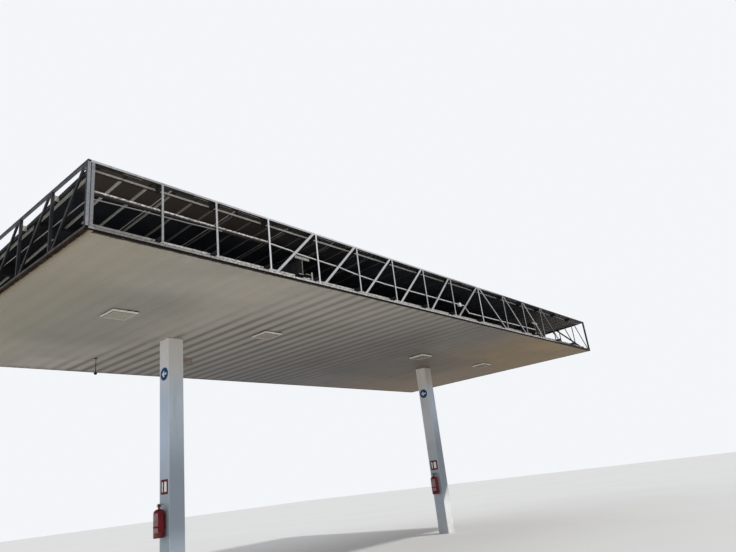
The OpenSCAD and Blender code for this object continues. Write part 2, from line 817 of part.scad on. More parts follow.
soffit(33, pan_n);  // soffit_right
soffit_edge_trim();
soffit_rail(roof_beam_ys[0]);  // front_soffit_rail
soffit_rail(roof_beam_ys[1]);  // middle_soffit_rail
soffit_rail(roof_beam_ys[2]);  // back_soffit_rail
soffit_light(light_xs[0]);  // soffit_light_1
soffit_light(light_xs[1]);  // soffit_light_2
soffit_light(light_xs[2]);  // soffit_light_3
soffit_light(light_xs[3]);  // soffit_light_4
conduit();
junction_box();
drop_rod();
extinguisher(0);  // left_extinguisher
extinguisher(col_gap);  // right_extinguisher
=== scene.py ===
"""Finishes, signs and small fasteners for the filling station canopy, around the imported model."""
import random
from math import atan, cos, pi, radians, sin, sqrt

import bmesh
import bpy
from mathutils import Matrix, Vector


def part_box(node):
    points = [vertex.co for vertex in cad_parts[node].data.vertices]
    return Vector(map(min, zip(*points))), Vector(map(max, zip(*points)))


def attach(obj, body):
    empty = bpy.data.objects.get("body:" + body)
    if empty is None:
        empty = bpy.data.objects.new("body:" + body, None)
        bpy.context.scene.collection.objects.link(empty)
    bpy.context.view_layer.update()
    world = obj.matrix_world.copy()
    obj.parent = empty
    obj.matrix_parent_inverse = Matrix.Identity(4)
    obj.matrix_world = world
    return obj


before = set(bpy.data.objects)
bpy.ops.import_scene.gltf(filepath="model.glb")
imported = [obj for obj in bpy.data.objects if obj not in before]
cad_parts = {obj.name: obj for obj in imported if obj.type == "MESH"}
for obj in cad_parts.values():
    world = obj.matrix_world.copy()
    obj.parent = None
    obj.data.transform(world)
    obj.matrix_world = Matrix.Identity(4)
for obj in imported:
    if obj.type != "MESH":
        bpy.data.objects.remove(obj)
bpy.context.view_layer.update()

# The view: where the camera stands, how it is turned, and its lens.
CAMERA_AT = (-6.045, -9.648, 1.40)
CAMERA_YAW = radians(51.63)
CAMERA_PITCH = radians(19.42)
CAMERA_ROLL = radians(-7.03)
CAMERA_LENS, CAMERA_SENSOR = 28.95, 36.0
CAMERA_REACH = 500.0

# The light: one soft sun from the front right, a weak fill from the left, and a pale even sky.
TO_SUN = (0.30, -0.75, 0.74)
SUN_STRENGTH = 1.7
SUN_SPREAD = radians(4)
TO_FILL = (-1.0, 0.12, 0.16)
FILL_STRENGTH = 0.9
FILL_SPREAD = radians(70)
SKY = (0.90, 0.93, 1.0)
SKY_STRENGTH = 0.55
BACKDROP = (0.90, 0.92, 0.95)
FLOOR_TONE = (0.76, 0.75, 0.72)
FLOOR_HALF = 90.0
FLOOR_Z = -0.001


def faces(name, axis):
    """The low and the high face of a node along one axis."""
    low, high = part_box(name)
    return low[axis], high[axis]


def middle(name, axis):
    """Where the middle of a node lies along one axis."""
    return sum(faces(name, axis)) / 2


# The canopy's own planes and rows, from its nodes.
X_LEFT, X_RIGHT = faces("soffit_edge_trim", 0)
Y_FRONT, Y_BACK = faces("soffit_edge_trim", 1)
COLUMNS = (middle("left_casing", 0), middle("right_casing", 0))
CASING_HALF = faces("left_casing", 0)[1]
SOFFIT_Z = faces("soffit_left", 2)[0]
CHORD_FOOT, FRAME_TOP = faces("front_fascia_frame", 2)
EAVE_Y = faces("front_eave_rail", 1)[1]
EAVE_TOP = faces("front_eave_rail", 2)[1]
ROOF_BEAM_YS = [middle(place + "_roof_beam", 1) for place in ("front", "middle", "back")]
EAVE_ROWS = [middle(place + "_eave_rail", 1) for place in ("front", "back")]
LAMPS = ["soffit_light_%d" % number for number in (1, 2, 3, 4)]

# Sizes and spacings of its sections, as the model has them, in metres.
CHORD_TALL = 0.028
CHORD_DEEP = 0.038
LEG_WIDE = 0.030
LEG_DEEP = 0.024
SIDE_LEG_DEEP = 0.036
LEG_THICK = 0.003
CORNER_SET = 0.028
OPEN_BAYS = [0.908, 0.808, 0.915]
NEXT_BAYS = [0.985] * 5
MIDDLE_BAYS = [1.135] * 2
LAST_BAY_COUNT = 5
SIDE_BAY_COUNT = 7
JOINT_LOW = CHORD_FOOT + CHORD_TALL
JOINT_HIGH = FRAME_TOP - CHORD_TALL
BAR_FOOT, BAR_TOP = 4.868, 4.920
ROOF_FALL = 0.045
DECK_THICK = 0.0015
RIB_FIRST = -3.182
RIB_GAP = 0.336
RIB_COUNT = 44
LAP_IN = 0.064
PAN_SEAM = -3.06
PAN_GAP = 0.30
TRIM_THICK = 0.002
TRIM_SIDE = 0.092
TRIM_FRONT = 0.020
LAMP_RIM = 0.028
LAMP_RECESS = 0.005
BEAM_SET = 0.060
CLEAT_THICK = 0.006
BOTTLE_RADIUS = 0.09
BOTTLE_FOOT = faces("left_extinguisher", 2)[0]
BOTTLE_TALL, NECK_TALL = 0.45, 0.029
BOTTLE_TOP = BOTTLE_FOOT + BOTTLE_TALL
NECK_TOP = BOTTLE_TOP + NECK_TALL


def roof_plane(y):
    """Height of the roof sheet's underside at y."""
    return EAVE_TOP - (y - EAVE_Y) * ROOF_FALL


def front_stations():
    """Where the verticals of the front and back frames stand, along X."""
    start = X_LEFT + CHORD_DEEP
    length = X_RIGHT - X_LEFT - 2 * CHORD_DEEP
    bays = OPEN_BAYS + NEXT_BAYS + MIDDLE_BAYS
    bays += [(length - sum(bays)) / LAST_BAY_COUNT] * LAST_BAY_COUNT
    places = [start + sum(bays[:i]) for i in range(len(bays) + 1)]
    places[0] += CORNER_SET
    places[-1] -= CORNER_SET
    return places


def side_stations():
    """Where the verticals of the left and right frames stand, along Y."""
    gap = (Y_BACK - Y_FRONT) / SIDE_BAY_COUNT
    return [Y_FRONT + gap * i for i in range(SIDE_BAY_COUNT + 1)]


# Camera and light.
def placed(name, data):
    """A new object in the scene."""
    obj = bpy.data.objects.new(name, data)
    bpy.context.scene.collection.objects.link(obj)
    return obj


def make_camera():
    """The camera at the photograph's viewing angle."""
    data = bpy.data.cameras.new("view_camera")
    data.lens = CAMERA_LENS
    data.sensor_width = CAMERA_SENSOR
    data.clip_end = CAMERA_REACH
    cam = placed("view_camera", data)
    turns = ((-CAMERA_YAW, "Z"), (pi / 2 + CAMERA_PITCH, "X"), (CAMERA_ROLL, "Z"))
    cam.matrix_world = Matrix.Translation(CAMERA_AT)
    for angle, axis in turns:
        cam.matrix_world = cam.matrix_world @ Matrix.Rotation(angle, 4, axis)
    bpy.context.scene.camera = cam


def make_lamp(name, towards, strength, spread):
    """One soft lamp that shines from far away."""
    data = bpy.data.lights.new(name, "SUN")
    data.energy = strength
    data.angle = spread
    placed(name, data).rotation_euler = Vector(towards).to_track_quat("Z", "Y").to_euler()


def make_sky():
    """An even sky for the light, and a pale backdrop where it is seen."""
    world = bpy.data.worlds.new("studio")
    bpy.context.scene.world = world
    world.use_nodes = True
    nodes = Nodes(world.node_tree)
    light, seen = (nodes.node("ShaderNodeBackground", {"Color": tone, "Strength": strength}).outputs[0]
                   for tone, strength in ((SKY, SKY_STRENGTH), (BACKDROP, 1)))
    rays = nodes.node("ShaderNodeLightPath").outputs
    share = nodes.most(*[rays["Is %s Ray" % kind] for kind in ("Camera", "Glossy", "Transmission")])
    pick = nodes.node("ShaderNodeMixShader", {0: share, 1: light, 2: seen}).outputs[0]
    nodes.node("ShaderNodeOutputWorld", {"Surface": pick})


# Procedural finishes.
class Nodes:
    """Builds a node tree and works out values in it."""

    def __init__(self, tree):
        self.tree = tree
        tree.nodes.clear()

    def node(self, kind, sockets=None, **settings):
        """A new node with its settings made and its sockets fed."""
        made = self.tree.nodes.new(kind)
        for key, value in settings.items():
            setattr(made, key, value)
        self.feed(made, sockets or {})
        return made

    def feed(self, made, sockets):
        """Link or set a node's sockets, by name or number."""
        for key, value in sockets.items():
            socket = made.inputs[key]
            if isinstance(value, bpy.types.NodeSocket):
                self.tree.links.new(value, socket)
            else:
                socket.default_value = (*value, 1) if socket.type == "RGBA" else value

    def math(self, how, first, second=0):
        return self.node("ShaderNodeMath", {0: first, 1: second}, operation=how).outputs[0]

    def joined(self, how, values):
        """Several values put together two by two."""
        result = values[0]
        for value in values[1:]:
            result = self.math(how, result, value)
        return result

    def times(self, *values):
        return self.joined("MULTIPLY", values)

    def plus(self, *values):
        return self.joined("ADD", values)

    def most(self, *values):
        return self.joined("MAXIMUM", values)

    def minus(self, first, second):
        return self.math("SUBTRACT", first, second)

    def absolute(self, value):
        return self.math("ABSOLUTE", value)

    def remapped(self, value, source, target, how="LINEAR"):
        """A value carried over from one range to another, and held inside it."""
        names = ("Value", "From Min", "From Max", "To Min", "To Max")
        sockets = dict(zip(names, (value, *source, *target)))
        return self.node("ShaderNodeMapRange", sockets, interpolation_type=how).outputs[0]

    def scale_to(self, value, low, high):
        """A share from 0 to 1, stretched to lie between low and high."""
        return self.remapped(value, (0, 1), (low, high))

    def band(self, value, low, high):
        """0 at low and 1 at high, smooth between; low may be the larger one."""
        target = (0, 1) if low < high else (1, 0)
        return self.remapped(value, sorted((low, high)), target, "SMOOTHSTEP")

    def span(self, value, low, high, soft):
        """1 between low and high, 0 outside, with a soft edge."""
        return self.times(self.band(value, low - soft, low), self.band(value, high + soft, high))


class Paint(Nodes):
    """Builds one procedural material from a few kinds of layer."""

    def __init__(self, name):
        self.mat = bpy.data.materials.new(name)
        self.mat.use_nodes = True
        super().__init__(self.mat.node_tree)
        self.skin = self.node("ShaderNodeBsdfPrincipled")
        self.node("ShaderNodeOutputMaterial", {"Surface": self.skin.outputs["BSDF"]})
        self.place = self.node("ShaderNodeTexCoord").outputs["Object"]
        self.x, self.y, self.z = self.split(self.place)
        self.nx, self.ny, self.nz = self.split(self.node("ShaderNodeNewGeometry").outputs["Normal"])

    def split(self, vector):
        return self.node("ShaderNodeSeparateXYZ", {0: vector}).outputs[:]

    def squashed(self, by):
        """The place on the canopy, drawn out along the axes that by makes small."""
        return self.node("ShaderNodeVectorMath", {0: self.place, 1: by}, operation="MULTIPLY").outputs[0]

    def noise(self, scale, detail=3, rough=0.55, squash=(1, 1, 1)):
        sockets = {"Vector": self.squashed(squash), "Scale": scale, "Detail": detail, "Roughness": rough}
        return self.node("ShaderNodeTexNoise", sockets).outputs[0]

    def patches(self, low, high, *grain):
        """Patches cut between two levels from noise of a scale, detail, roughness and squash."""
        return self.band(self.noise(*grain), low, high)

    def cells(self, scale, squash=(1, 1, 1)):
        sockets = {"Vector": self.squashed(squash), "Scale": scale}
        return self.node("ShaderNodeTexVoronoi", sockets).outputs["Distance"]

    def ragged(self, value, reach, scale, detail):
        """The value shifted by noise, up to half of reach either way."""
        return self.plus(value, self.times(self.minus(self.noise(scale, detail, 0.7), 0.5), reach))

    def from_side(self):
        """How far in the point lies from the nearer of the left and right edges."""
        return self.math("MINIMUM", self.minus(self.x, X_LEFT), self.minus(X_RIGHT, self.x))

    def off_lines(self, first, gap):
        """How far X lies from the nearest of a row of lines, as a share of their gap."""
        along = self.math("DIVIDE", self.minus(self.x, first - 30 * gap), gap)
        return self.absolute(self.minus(self.math("FRACT", self.plus(along, 0.5)), 0.5))

    def mix(self, share, first, second):
        """A colour between the first and the second."""
        return self.node("ShaderNodeMix", {0: share, 6: first, 7: second}, data_type="RGBA").outputs[2]

    def coated(self, colour, *coats):
        """A colour under further coats, each a share, its strength and its tone."""
        for share, strength, tone in coats:
            colour = self.mix(self.times(share, strength), colour, tone)
        return colour

    def raised(self, height, strength, depth):
        """Catch the light as if height stood up from the surface."""
        bump = self.node("ShaderNodeBump", {"Strength": strength, "Distance": depth, "Height": height})
        self.feed(self.skin, {"Normal": bump.outputs[0]})

    def finish(self, colour, rough, shine, metal=0):
        self.feed(self.skin, {"Base Color": colour, "Roughness": rough,
                              "Specular IOR Level": shine, "Metallic": metal})
        return self.mat


RUST = (0.115, 0.045, 0.02)
RUST_PALE = (0.24, 0.12, 0.06)
DUST = (0.33, 0.28, 0.21)


def scaled(tone, by):
    """A tone made darker or paler."""
    return tuple(part * by for part in tone)


# Casing tones low down, half way and at the top, with the heights where each change starts and ends; these
# are painted light and shade, per face and per column: bluer half way as painted sky light, warm at the top
# as painted bounce light.
CASING_LIGHT_TONES = {
    "left_side": ((0.30, 0.35, 0.40), (0.49, 0.59, 0.74), (0.88, 0.855, 0.83), (1.3, 3.0, 3.1, 4.3)),
    "left_other": ((0.32, 0.38, 0.45), (0.62, 0.72, 0.80), (0.69, 0.67, 0.645), (1.8, 3.2, 3.3, 4.0)),
    "right_side": ((0.33, 0.38, 0.43), (0.58, 0.59, 0.63), (0.80, 0.765, 0.67), (1.5, 3.1, 3.2, 4.3)),
    "right_other": ((0.255, 0.30, 0.35), (0.55, 0.64, 0.77), (0.54, 0.475, 0.415), (2.1, 3.3, 3.6, 4.2)),
}
SUNLIT_TOP = 1.0
SUNLIT_SLOPE = 1.4


def casing_finish():
    """Off-white painted sheet with painted light and shade (tones by face and height, a sun patch, corner
    highlights, dark gaps under the soffit); dust streaks, grime and rust at the foot.
    """
    p = Paint("casing_sheet_paint")
    tones = {place: painted_light_by_height(p, rows) for place, rows in CASING_LIGHT_TONES.items()}
    # painted light: each casing's left face takes its own lighter tones, picked by its normal
    left = p.band(p.nx, -0.5, -0.8)
    left_tone = p.mix(left, tones["left_other"], tones["left_side"])
    right_tone = p.mix(left, tones["right_other"], tones["right_side"])
    right_column = p.band(p.x, 7, 7.5)
    cloud = p.patches(0.32, 0.72, 1.7, 4)
    # painted sun patch: the right column's front face is made near-white below a slanted line, on top of
    # the real sun there
    sun_top = p.plus(SUNLIT_TOP, p.times(p.minus(p.x, COLUMNS[1]), SUNLIT_SLOPE))
    sunlit = p.times(p.band(p.ny, -0.5, -0.8), p.band(p.minus(p.z, sun_top), 0.04, -0.04))
    # painted highlight: a pale line down each casing's vertical corners, stronger higher up
    edge = p.most(*[corner_highlight_share(p, column) for column in COLUMNS])
    highlight_strength = p.scale_to(p.band(p.z, 1.6, 2.6), 0.15, 0.45)
    streak = p.patches(0.50, 0.78, 9, 4, 0.6, (1, 1, 0.07))
    splash = p.times(p.band(p.z, 0.75, 0), p.patches(0.30, 0.62, 16, 5, 0.65))
    runs = p.times(p.patches(0.60, 0.74, 30, 2, 0.5, (1, 1, 0.05)), p.band(p.z, 0.7, 0.15))
    spots = p.band(p.cells(13, (1, 1, 0.7)), 0.16, 0.07)
    chips = p.times(spots, p.band(p.z, 0.62, 0.10), p.patches(0.47, 0.56, 3.1, 1))
    # painted shade: rust-dark patches just under the soffit, for the dark gaps where the casing meets it
    gap = p.times(p.band(p.z, SOFFIT_Z - 0.025, SOFFIT_Z - 0.008), p.patches(0.42, 0.56, 14, 3))
    colour = p.coated(
        p.mix(right_column, left_tone, right_tone),
        (cloud, 0.14, (0.25, 0.28, 0.32)),
        (sunlit, right_column, (0.92, 0.92, 0.92)),
        (edge, highlight_strength, (0.74, 0.745, 0.74)),
        (streak, 0.28, (0.36, 0.345, 0.315)),
        (splash, 0.34, DUST),
        (runs, 0.35, RUST_PALE))
    colour = p.mix(p.most(chips, p.times(gap, 0.7)), colour, RUST)
    dents = p.plus(p.noise(2.2, 2), p.times(p.noise(60, 2), 0.03))
    p.raised(p.minus(dents, p.times(chips, 0.05)), 0.35, 0.02)
    return p.finish(colour, p.scale_to(p.noise(7, 4), 0.38, 0.56), 0.45)


def painted_light_by_height(p, tones):
    """A casing face's tone as painted light and shade: darker low down, bluer half way, warm under the
    soffit.
    """
    low, half_way, top, heights = tones
    tone = p.mix(p.band(p.z, *heights[:2]), low, half_way)
    return p.mix(p.band(p.z, *heights[2:]), tone, top)


def corner_highlight_share(p, column):
    """1 along the vertical corners of a casing, where a painted highlight brightens them."""
    off_x = p.absolute(p.minus(p.x, column))
    near = p.math("MINIMUM", off_x, p.absolute(p.y))
    return p.times(p.band(near, CASING_HALF - 0.016, CASING_HALF - 0.006), p.band(off_x, 0.6, 0.5))


# Marks on the soffit: dark lines of painted shade beside its seams and behind the lamps, a dark front edge
# of painted shade, and a slanted stain.
SEAM_BESIDE = 0.065
SEAM_WIDE = 0.115
SLOT_SHADE_SPANS = ((0.03, 0.10), (0.13, 0.215))
STAIN_LEAN = 0.66
STAIN_ACROSS = (0.26, 0.44)
STAIN_ALONG = (1.16, 1.70)


def soffit_finish():
    """Warm pale pans with painted light and shade: paler near the front left corner, with broad dark seams
    of painted shade beyond, and groove faces made paler near the front left as painted light.
    """
    p = Paint("soffit_sheet_paint")
    cloud = p.patches(0.30, 0.72, 0.9, 4, 0.6)
    drift = p.noise(3, 3, 0.55, (1, 0.25, 1))
    wander = p.times(p.minus(drift, 0.5), 0.8)
    beyond = p.band(p.plus(p.x, p.times(p.y, 0.26), wander), -0.75, 0.30)
    speck = p.times(p.band(p.cells(26), 0.12, 0.05), p.patches(0.55, 0.66, 2.4, 2))
    front_dirt = edge_dirt(p, p.y, Y_FRONT + 0.37, Y_FRONT + 0.01, (20, 5, 0.65), 0.46, 0.66)
    back_dirt = edge_dirt(p, p.y, Y_BACK - 0.29, Y_BACK - 0.02, (12, 5, 0.65), 0.42, 0.62)
    side_dirt = edge_dirt(p, p.x, X_LEFT + 0.20, X_LEFT + 0.09, (24, 5, 0.7), 0.42, 0.60)
    # painted light: the seam grooves' slanted faces made paler near the front left, to cancel their real
    # shade there
    groove_fill_light = p.times(p.span(p.absolute(p.nx), 0.35, 0.95, 0.05), p.band(p.nz, -0.2, -0.4))
    under = p.coated(
        soffit_tone(p, cloud),
        # painted shade beside the seams
        (soffit_seam_shade(p, beyond, drift), 0.86, (0.072, 0.065, 0.060)),
        (speck, 0.55, (0.13, 0.10, 0.07)),
        (soffit_stain(p), 0.85, (0.150, 0.088, 0.045)),
        (front_dirt, 0.40, (0.20, 0.16, 0.11)),
        (back_dirt, 0.70, (0.12, 0.085, 0.05)),
        (side_dirt, 0.45, (0.30, 0.24, 0.14)),
        (groove_fill_light, p.scale_to(beyond, 0.75, 0), (0.455, 0.42, 0.355)),
        # painted shade of the dark slots behind the lamps
        (lamp_slot_shade(p), 0.95, (0.010, 0.008, 0.007)),
        (front_edge_shade(p), 0.95, (0.012, 0.008, 0.006)))
    over = p.coated(
        p.mix(p.patches(0.35, 0.65, 6, 5), (0.028, 0.027, 0.028), (0.075, 0.072, 0.070)),
        (p.band(p.x, 0.4, -2.6), 0.9, (0.52, 0.50, 0.46)))
    colour = p.mix(p.band(p.nz, -0.2, 0.3), under, over)
    p.raised(p.plus(p.noise(1.4, 2, 0.5, (1, 0.2, 1)), p.times(p.noise(80, 2), 0.02)), 0.22, 0.02)
    return p.finish(colour, p.scale_to(drift, 0.50, 0.70), 0.25)


def edge_dirt(p, place, paler_patch, dirty, grain, low, high):
    """Patches of dirt that grow thicker towards an edge."""
    return p.times(p.band(place, paler_patch, dirty), p.patches(low, high, *grain))


def soffit_seam_shade(p, beyond, drift):
    """1 beside each seam between two pans, as painted shade; fainter at the left, right and front."""
    near = p.band(p.off_lines(PAN_SEAM + SEAM_BESIDE, PAN_GAP), SEAM_WIDE / PAN_GAP, 0)
    to_right = p.times(p.scale_to(p.band(p.x, 4.6, 6.4), 1, 0.30), p.band(p.x, 9, 6.8))
    to_front = p.scale_to(p.band(p.y, -1.2, -2.8), 1, 0.72)
    return p.times(near, p.scale_to(beyond, 0.08, 1), to_right, p.scale_to(drift, 0.65, 1.1), to_front)


def soffit_stain(p):
    """1 on the slanted brown stain beside the left column."""
    leaning = p.minus(p.x, p.times(p.y, STAIN_LEAN))
    return p.times(p.span(leaning, *STAIN_ACROSS, 0.06), p.span(p.y, *STAIN_ALONG, 0.10),
                   p.patches(0.36, 0.50, 14, 4))


def front_edge_shade(p):
    """1 along the dark ragged front edge of the pans, painted shade under the front chord, which is wider
    at the left.
    """
    # painted shade: near-black band along the pans' front edge, under the front chord
    wider = p.times(p.band(p.x, 1.4, 0), 0.014)
    lip = p.band(p.minus(p.ragged(p.y, 0.06, 11, 5), wider), Y_FRONT + 0.048, Y_FRONT + 0.038)
    return p.times(lip, p.scale_to(p.band(p.x, 1.5, -0.5), 0.75, 1))


def lamp_slot_shade(p):
    """1 on the painted shade behind the front edges of the first three lamps, where the slot between lamp
    and soffit is dark.
    """
    spots = []
    for name in LAMPS[:3]:
        edge, centre = faces(name, 1)[0], middle(name, 0)
        front = p.span(p.y, edge - 0.010, edge + 0.060, 0.006)
        for start, end in SLOT_SHADE_SPANS:
            spots.append(p.times(p.span(p.x, centre + start, centre + end, 0.01), front))
    return p.most(*spots)


def lamp_joint_shade(p):
    """1 along a painted shadow line at the joint inside the front and left edges of each lamp's underside.
    """
    lines = []
    for name in LAMPS:
        sides = ((p.x, faces(name, 0)), (p.y, faces(name, 1)))
        below = [p.span(value, low, high, 0.004) for value, (low, high) in sides]
        joint = [p.band(value, low + LAMP_RIM - 0.004, low + LAMP_RIM - 0.010) for value, (low, _) in sides]
        lines.append(p.times(*below, p.most(*joint)))
    return p.most(*lines)


def soffit_tone(p, cloud):
    """The pans' colour with painted light and shade: pale at the left and along the front, greyer and
    darker towards the middle, brown at the right.
    """
    patch = p.times(p.band(p.x, -0.3, -1.3), p.span(p.y, -1.8, 0.4, 0.9))
    left = p.coated(
        p.mix(cloud, (0.365, 0.335, 0.285), (0.43, 0.39, 0.33)),
        (patch, 0.6, (0.24, 0.235, 0.205)),
        (p.band(p.x, -1.8, -2.8), 0.5, (0.385, 0.345, 0.245)))
    cool = p.times(p.band(p.y, 0.2, 2.2), p.band(p.x, 7.5, 5))
    # painted light: paler along the front, up to the middle
    lit = p.times(p.band(p.y, -1.7, -3.2), p.band(p.x, 5.8, 3.8))
    centre = p.coated(
        p.mix(cloud, (0.150, 0.136, 0.120), (0.185, 0.166, 0.146)),
        (cool, 0.7, (0.178, 0.172, 0.172)),
        (lit, 0.8, (0.25, 0.222, 0.198)),
        (p.band(p.x, 4.6, 2.6), 0.7, (0.235, 0.213, 0.200)))
    # painted light: a paler strip along the front at the right
    strip = p.times(p.band(p.y, -2.6, -3.4), p.band(p.x, 7, 8.5), p.band(p.x, 10.8, 10.2))
    right = p.coated(
        p.mix(cloud, (0.200, 0.142, 0.076), (0.25, 0.176, 0.095)),
        (p.band(p.y, -1.8, -0.4), 0.7, (0.182, 0.136, 0.098)),
        (strip, 0.5, (0.30, 0.205, 0.105)))
    tone = p.mix(p.band(p.plus(p.x, p.times(p.y, 0.30)), -0.4, 4.2), left, centre)
    # painted shade in the middle under the canopy, and a paler patch at the back left as painted light
    deep = p.times(p.span(p.x, 5.7, 8.8, 1.1), p.span(p.y, -1, 1, 0.8))
    paler_patch = p.times(p.span(p.x, -1.5, -0.6, 0.4), p.span(p.y, 2.2, 2.7, 0.3))
    return p.coated(
        p.mix(p.band(p.x, 5.6, 9), tone, right),
        (deep, 0.45, (0.090, 0.082, 0.074)),
        (paler_patch, 0.7, (0.50, 0.46, 0.39)))


def trim_finish():
    """Dark brown edge trim: rusty at its edges, its side flanges smeared with the soffit's paint, its front
    flange near-black as painted shade.
    """
    p = Paint("edge_trim_paint")
    patch = p.patches(0.42, 0.62, 7, 5, 0.65)
    fleck = p.patches(0.54, 0.66, 45, 4, 0.7)
    below = p.band(p.nz, -0.5, -0.8)
    ragged = p.ragged(p.from_side(), 0.045, 13, 5)
    flange = p.band(p.from_side(), TRIM_SIDE + 0.006, TRIM_SIDE + 0.001)
    # painted shade: the front flange goes near-black, for the shadow gap under the front chord
    front = p.band(p.y, Y_FRONT + TRIM_FRONT + 0.004, Y_FRONT + TRIM_FRONT)
    colour = p.coated(
        p.mix(patch, (0.010, 0.007, 0.005), (0.026, 0.018, 0.013)),
        (fleck, p.scale_to(front, 0.45, 0.15), RUST),
        (p.patches(0.60, 0.70, 2, 3), 0.2, (0.16, 0.13, 0.10)),
        (front, 0.8, (0.004, 0.003, 0.002)))
    smear = p.mix(p.noise(9, 4), (0.34, 0.285, 0.185), (0.30, 0.27, 0.215))
    colour = p.mix(p.times(p.band(ragged, 0.040, 0.050), flange, below), colour, smear)
    rusty = p.times(p.span(ragged, 0.040, 0.056, 0.006), below)
    colour = p.coated(colour, (rusty, 0.6, (0.10, 0.055, 0.025)))
    p.raised(p.noise(38, 5, 0.65), 0.5, 0.004)
    return p.finish(colour, p.scale_to(fleck, 0.75, 0.92), 0.05)


def above_roof_plane(p):
    """How far a point of the roof sheet lies above the sheet's own plane."""
    plane = p.minus(EAVE_TOP, p.times(p.minus(p.y, EAVE_Y), ROOF_FALL))
    return p.minus(p.z, plane)


def lap_off(p):
    """Distance from the nearest edge where one roof sheet ends under the next."""
    cover = 3 * RIB_GAP
    return p.times(p.off_lines(RIB_FIRST - LAP_IN, cover), cover)


def deck_finish():
    """Roof sheet: near-black below as painted shade, with ribs paler near the left and front as painted
    light; weathered zinc above.
    """
    p = Paint("roof_sheet_paint")
    patch = p.patches(0.34, 0.70, 1.6, 5, 0.6)
    rib = p.times(p.band(above_roof_plane(p), 0.0045, 0.011), p.band(p.y, EAVE_Y - 0.01, EAVE_Y + 0.06))
    # painted light: ribs paler near the left and front edges, fading further in
    near = p.most(p.band(p.x, -0.4, -3), p.scale_to(p.band(p.x, 5, 0), 0.05, 0.30))
    wash = p.scale_to(p.noise(3, 4, 0.6, (1, 0.4, 1)), 0.65, 1.15)
    brown = p.band(p.y, -2.9, -3.2)
    lap = p.band(lap_off(p), 0.011, 0.005)
    # painted shade: the underside is near-black
    under = p.coated(
        p.mix(patch, (0.010, 0.012, 0.017), (0.024, 0.027, 0.034)),
        (brown, p.band(p.x, 2, -2.5), (0.070, 0.055, 0.046)),
        (p.band(p.x, 8.4, 10), p.scale_to(wash, 0.6, 1), (0.092, 0.074, 0.058)),
        (rib, p.times(near, wash), (0.72, 0.69, 0.63)),
        (lap, p.band(p.x, 4, -1.5), (0.62, 0.62, 0.62)),
        (p.patches(0.60, 0.70, 9, 5, 0.7), 0.5, RUST))
    spangle = p.band(p.cells(38), 0.10, 0.55)
    over = p.coated(
        p.mix(spangle, (0.33, 0.34, 0.345), (0.42, 0.43, 0.43)),
        (p.patches(0.46, 0.68, 2.2, 5, 0.65, (1, 0.3, 1)), 0.6, (0.20, 0.17, 0.13)),
        (p.patches(0.62, 0.72, 11, 5, 0.7), 0.6, RUST_PALE))
    colour = p.mix(p.band(p.nz, -0.1, 0.1), under, over)
    p.raised(p.plus(p.times(p.noise(3, 2), 0.6), p.times(p.noise(55, 3), 0.05)), 0.3, 0.01)
    return p.finish(colour, p.scale_to(p.noise(8, 4), 0.50, 0.75), 0.2)


def zinc_finish(name, share):
    """Dull galvanised sheet with spangle, white rust and dirt; share scales its tones, and the soffit
    rails' darker copy is painted shade.
    """
    p = Paint(name)
    spangle = p.band(p.cells(42), 0.12, 0.5)
    dirt = p.patches(0.40, 0.66, 4, 5, 0.65)
    colour = p.coated(
        p.mix(spangle, scaled((0.27, 0.275, 0.27), share), scaled((0.40, 0.40, 0.39), share)),
        (dirt, 0.55, scaled((0.13, 0.11, 0.085), share)),
        (p.patches(0.60, 0.70, 15, 5, 0.7), 0.6, RUST))
    p.raised(p.noise(50, 3), 0.25, 0.003)
    return p.finish(colour, p.scale_to(dirt, 0.42, 0.75), 0.5)


def closure_finish():
    """The angle under the roof's front edge: painted sun patches in short bright lengths on its front face,
    else dark.
    """
    p = Paint("closure_paint")
    # painted sun patches: short bright lengths on the front face
    painted_sun_patches = p.patches(0.49, 0.53, 2.6, 1, 0.4, (1, 0.01, 0.01))
    grime = p.patches(0.4, 0.7, 30, 4, 0.65)
    colour = p.coated(
        (0.020, 0.020, 0.021),
        (painted_sun_patches, p.band(p.ny, -0.3, -0.7), (0.78, 0.76, 0.72)),
        (grime, 0.25, (0.06, 0.05, 0.045)))
    p.raised(p.noise(60, 3), 0.3, 0.002)
    return p.finish(colour, p.scale_to(grime, 0.5, 0.8), 0.4)


def weathered(p, pale, dull):
    """Weathered primer: cloudy, with dirt runs, flecks of rust and scuffs."""
    cloud = p.patches(0.32, 0.70, 3.4, 5, 0.65)
    mottle = p.patches(0.44, 0.68, 22, 5, 0.7)
    fleck = p.patches(0.595, 0.68, 58, 4, 0.7)
    patch = p.times(p.patches(0.58, 0.66, 6.5, 4, 0.6), p.patches(0.40, 0.58, 34, 4, 0.7))
    return p.coated(
        p.mix(cloud, dull, pale),
        (mottle, 0.42, (dull[0] * 0.50, dull[1] * 0.48, dull[2] * 0.45)),
        (fleck, 0.85, RUST),
        (patch, 0.65, RUST_PALE))


def shade_dark_primer(p):
    """Dark primer with rust, near-black as painted shade, for members and faces in the canopy's shade."""
    cloud = p.patches(0.34, 0.70, 4, 5, 0.65)
    rust = p.patches(0.56, 0.68, 19, 5, 0.7)
    colour = p.mix(cloud, (0.017, 0.018, 0.020), (0.040, 0.041, 0.044))
    return p.coated(colour, (rust, 0.5, (0.065, 0.033, 0.020)))


def roughened(p, low, high):
    """Fine scale and pitting, and the roughness that goes with it."""
    p.raised(p.plus(p.noise(48, 5, 0.7), p.times(p.noise(9, 3), 0.6)), 0.45, 0.004)
    return p.scale_to(p.noise(30, 4, 0.6), low, high)


# Lengths of the front frame, along X, where its primer is fresh or dull.
FRESH_LENGTHS = ((-0.715, -0.665), (0.275, 0.325), (5.335, 5.405))
DULL_LENGTHS = ((-2.45, -2.38), (4.35, 5.20), (5.60, 7.80))


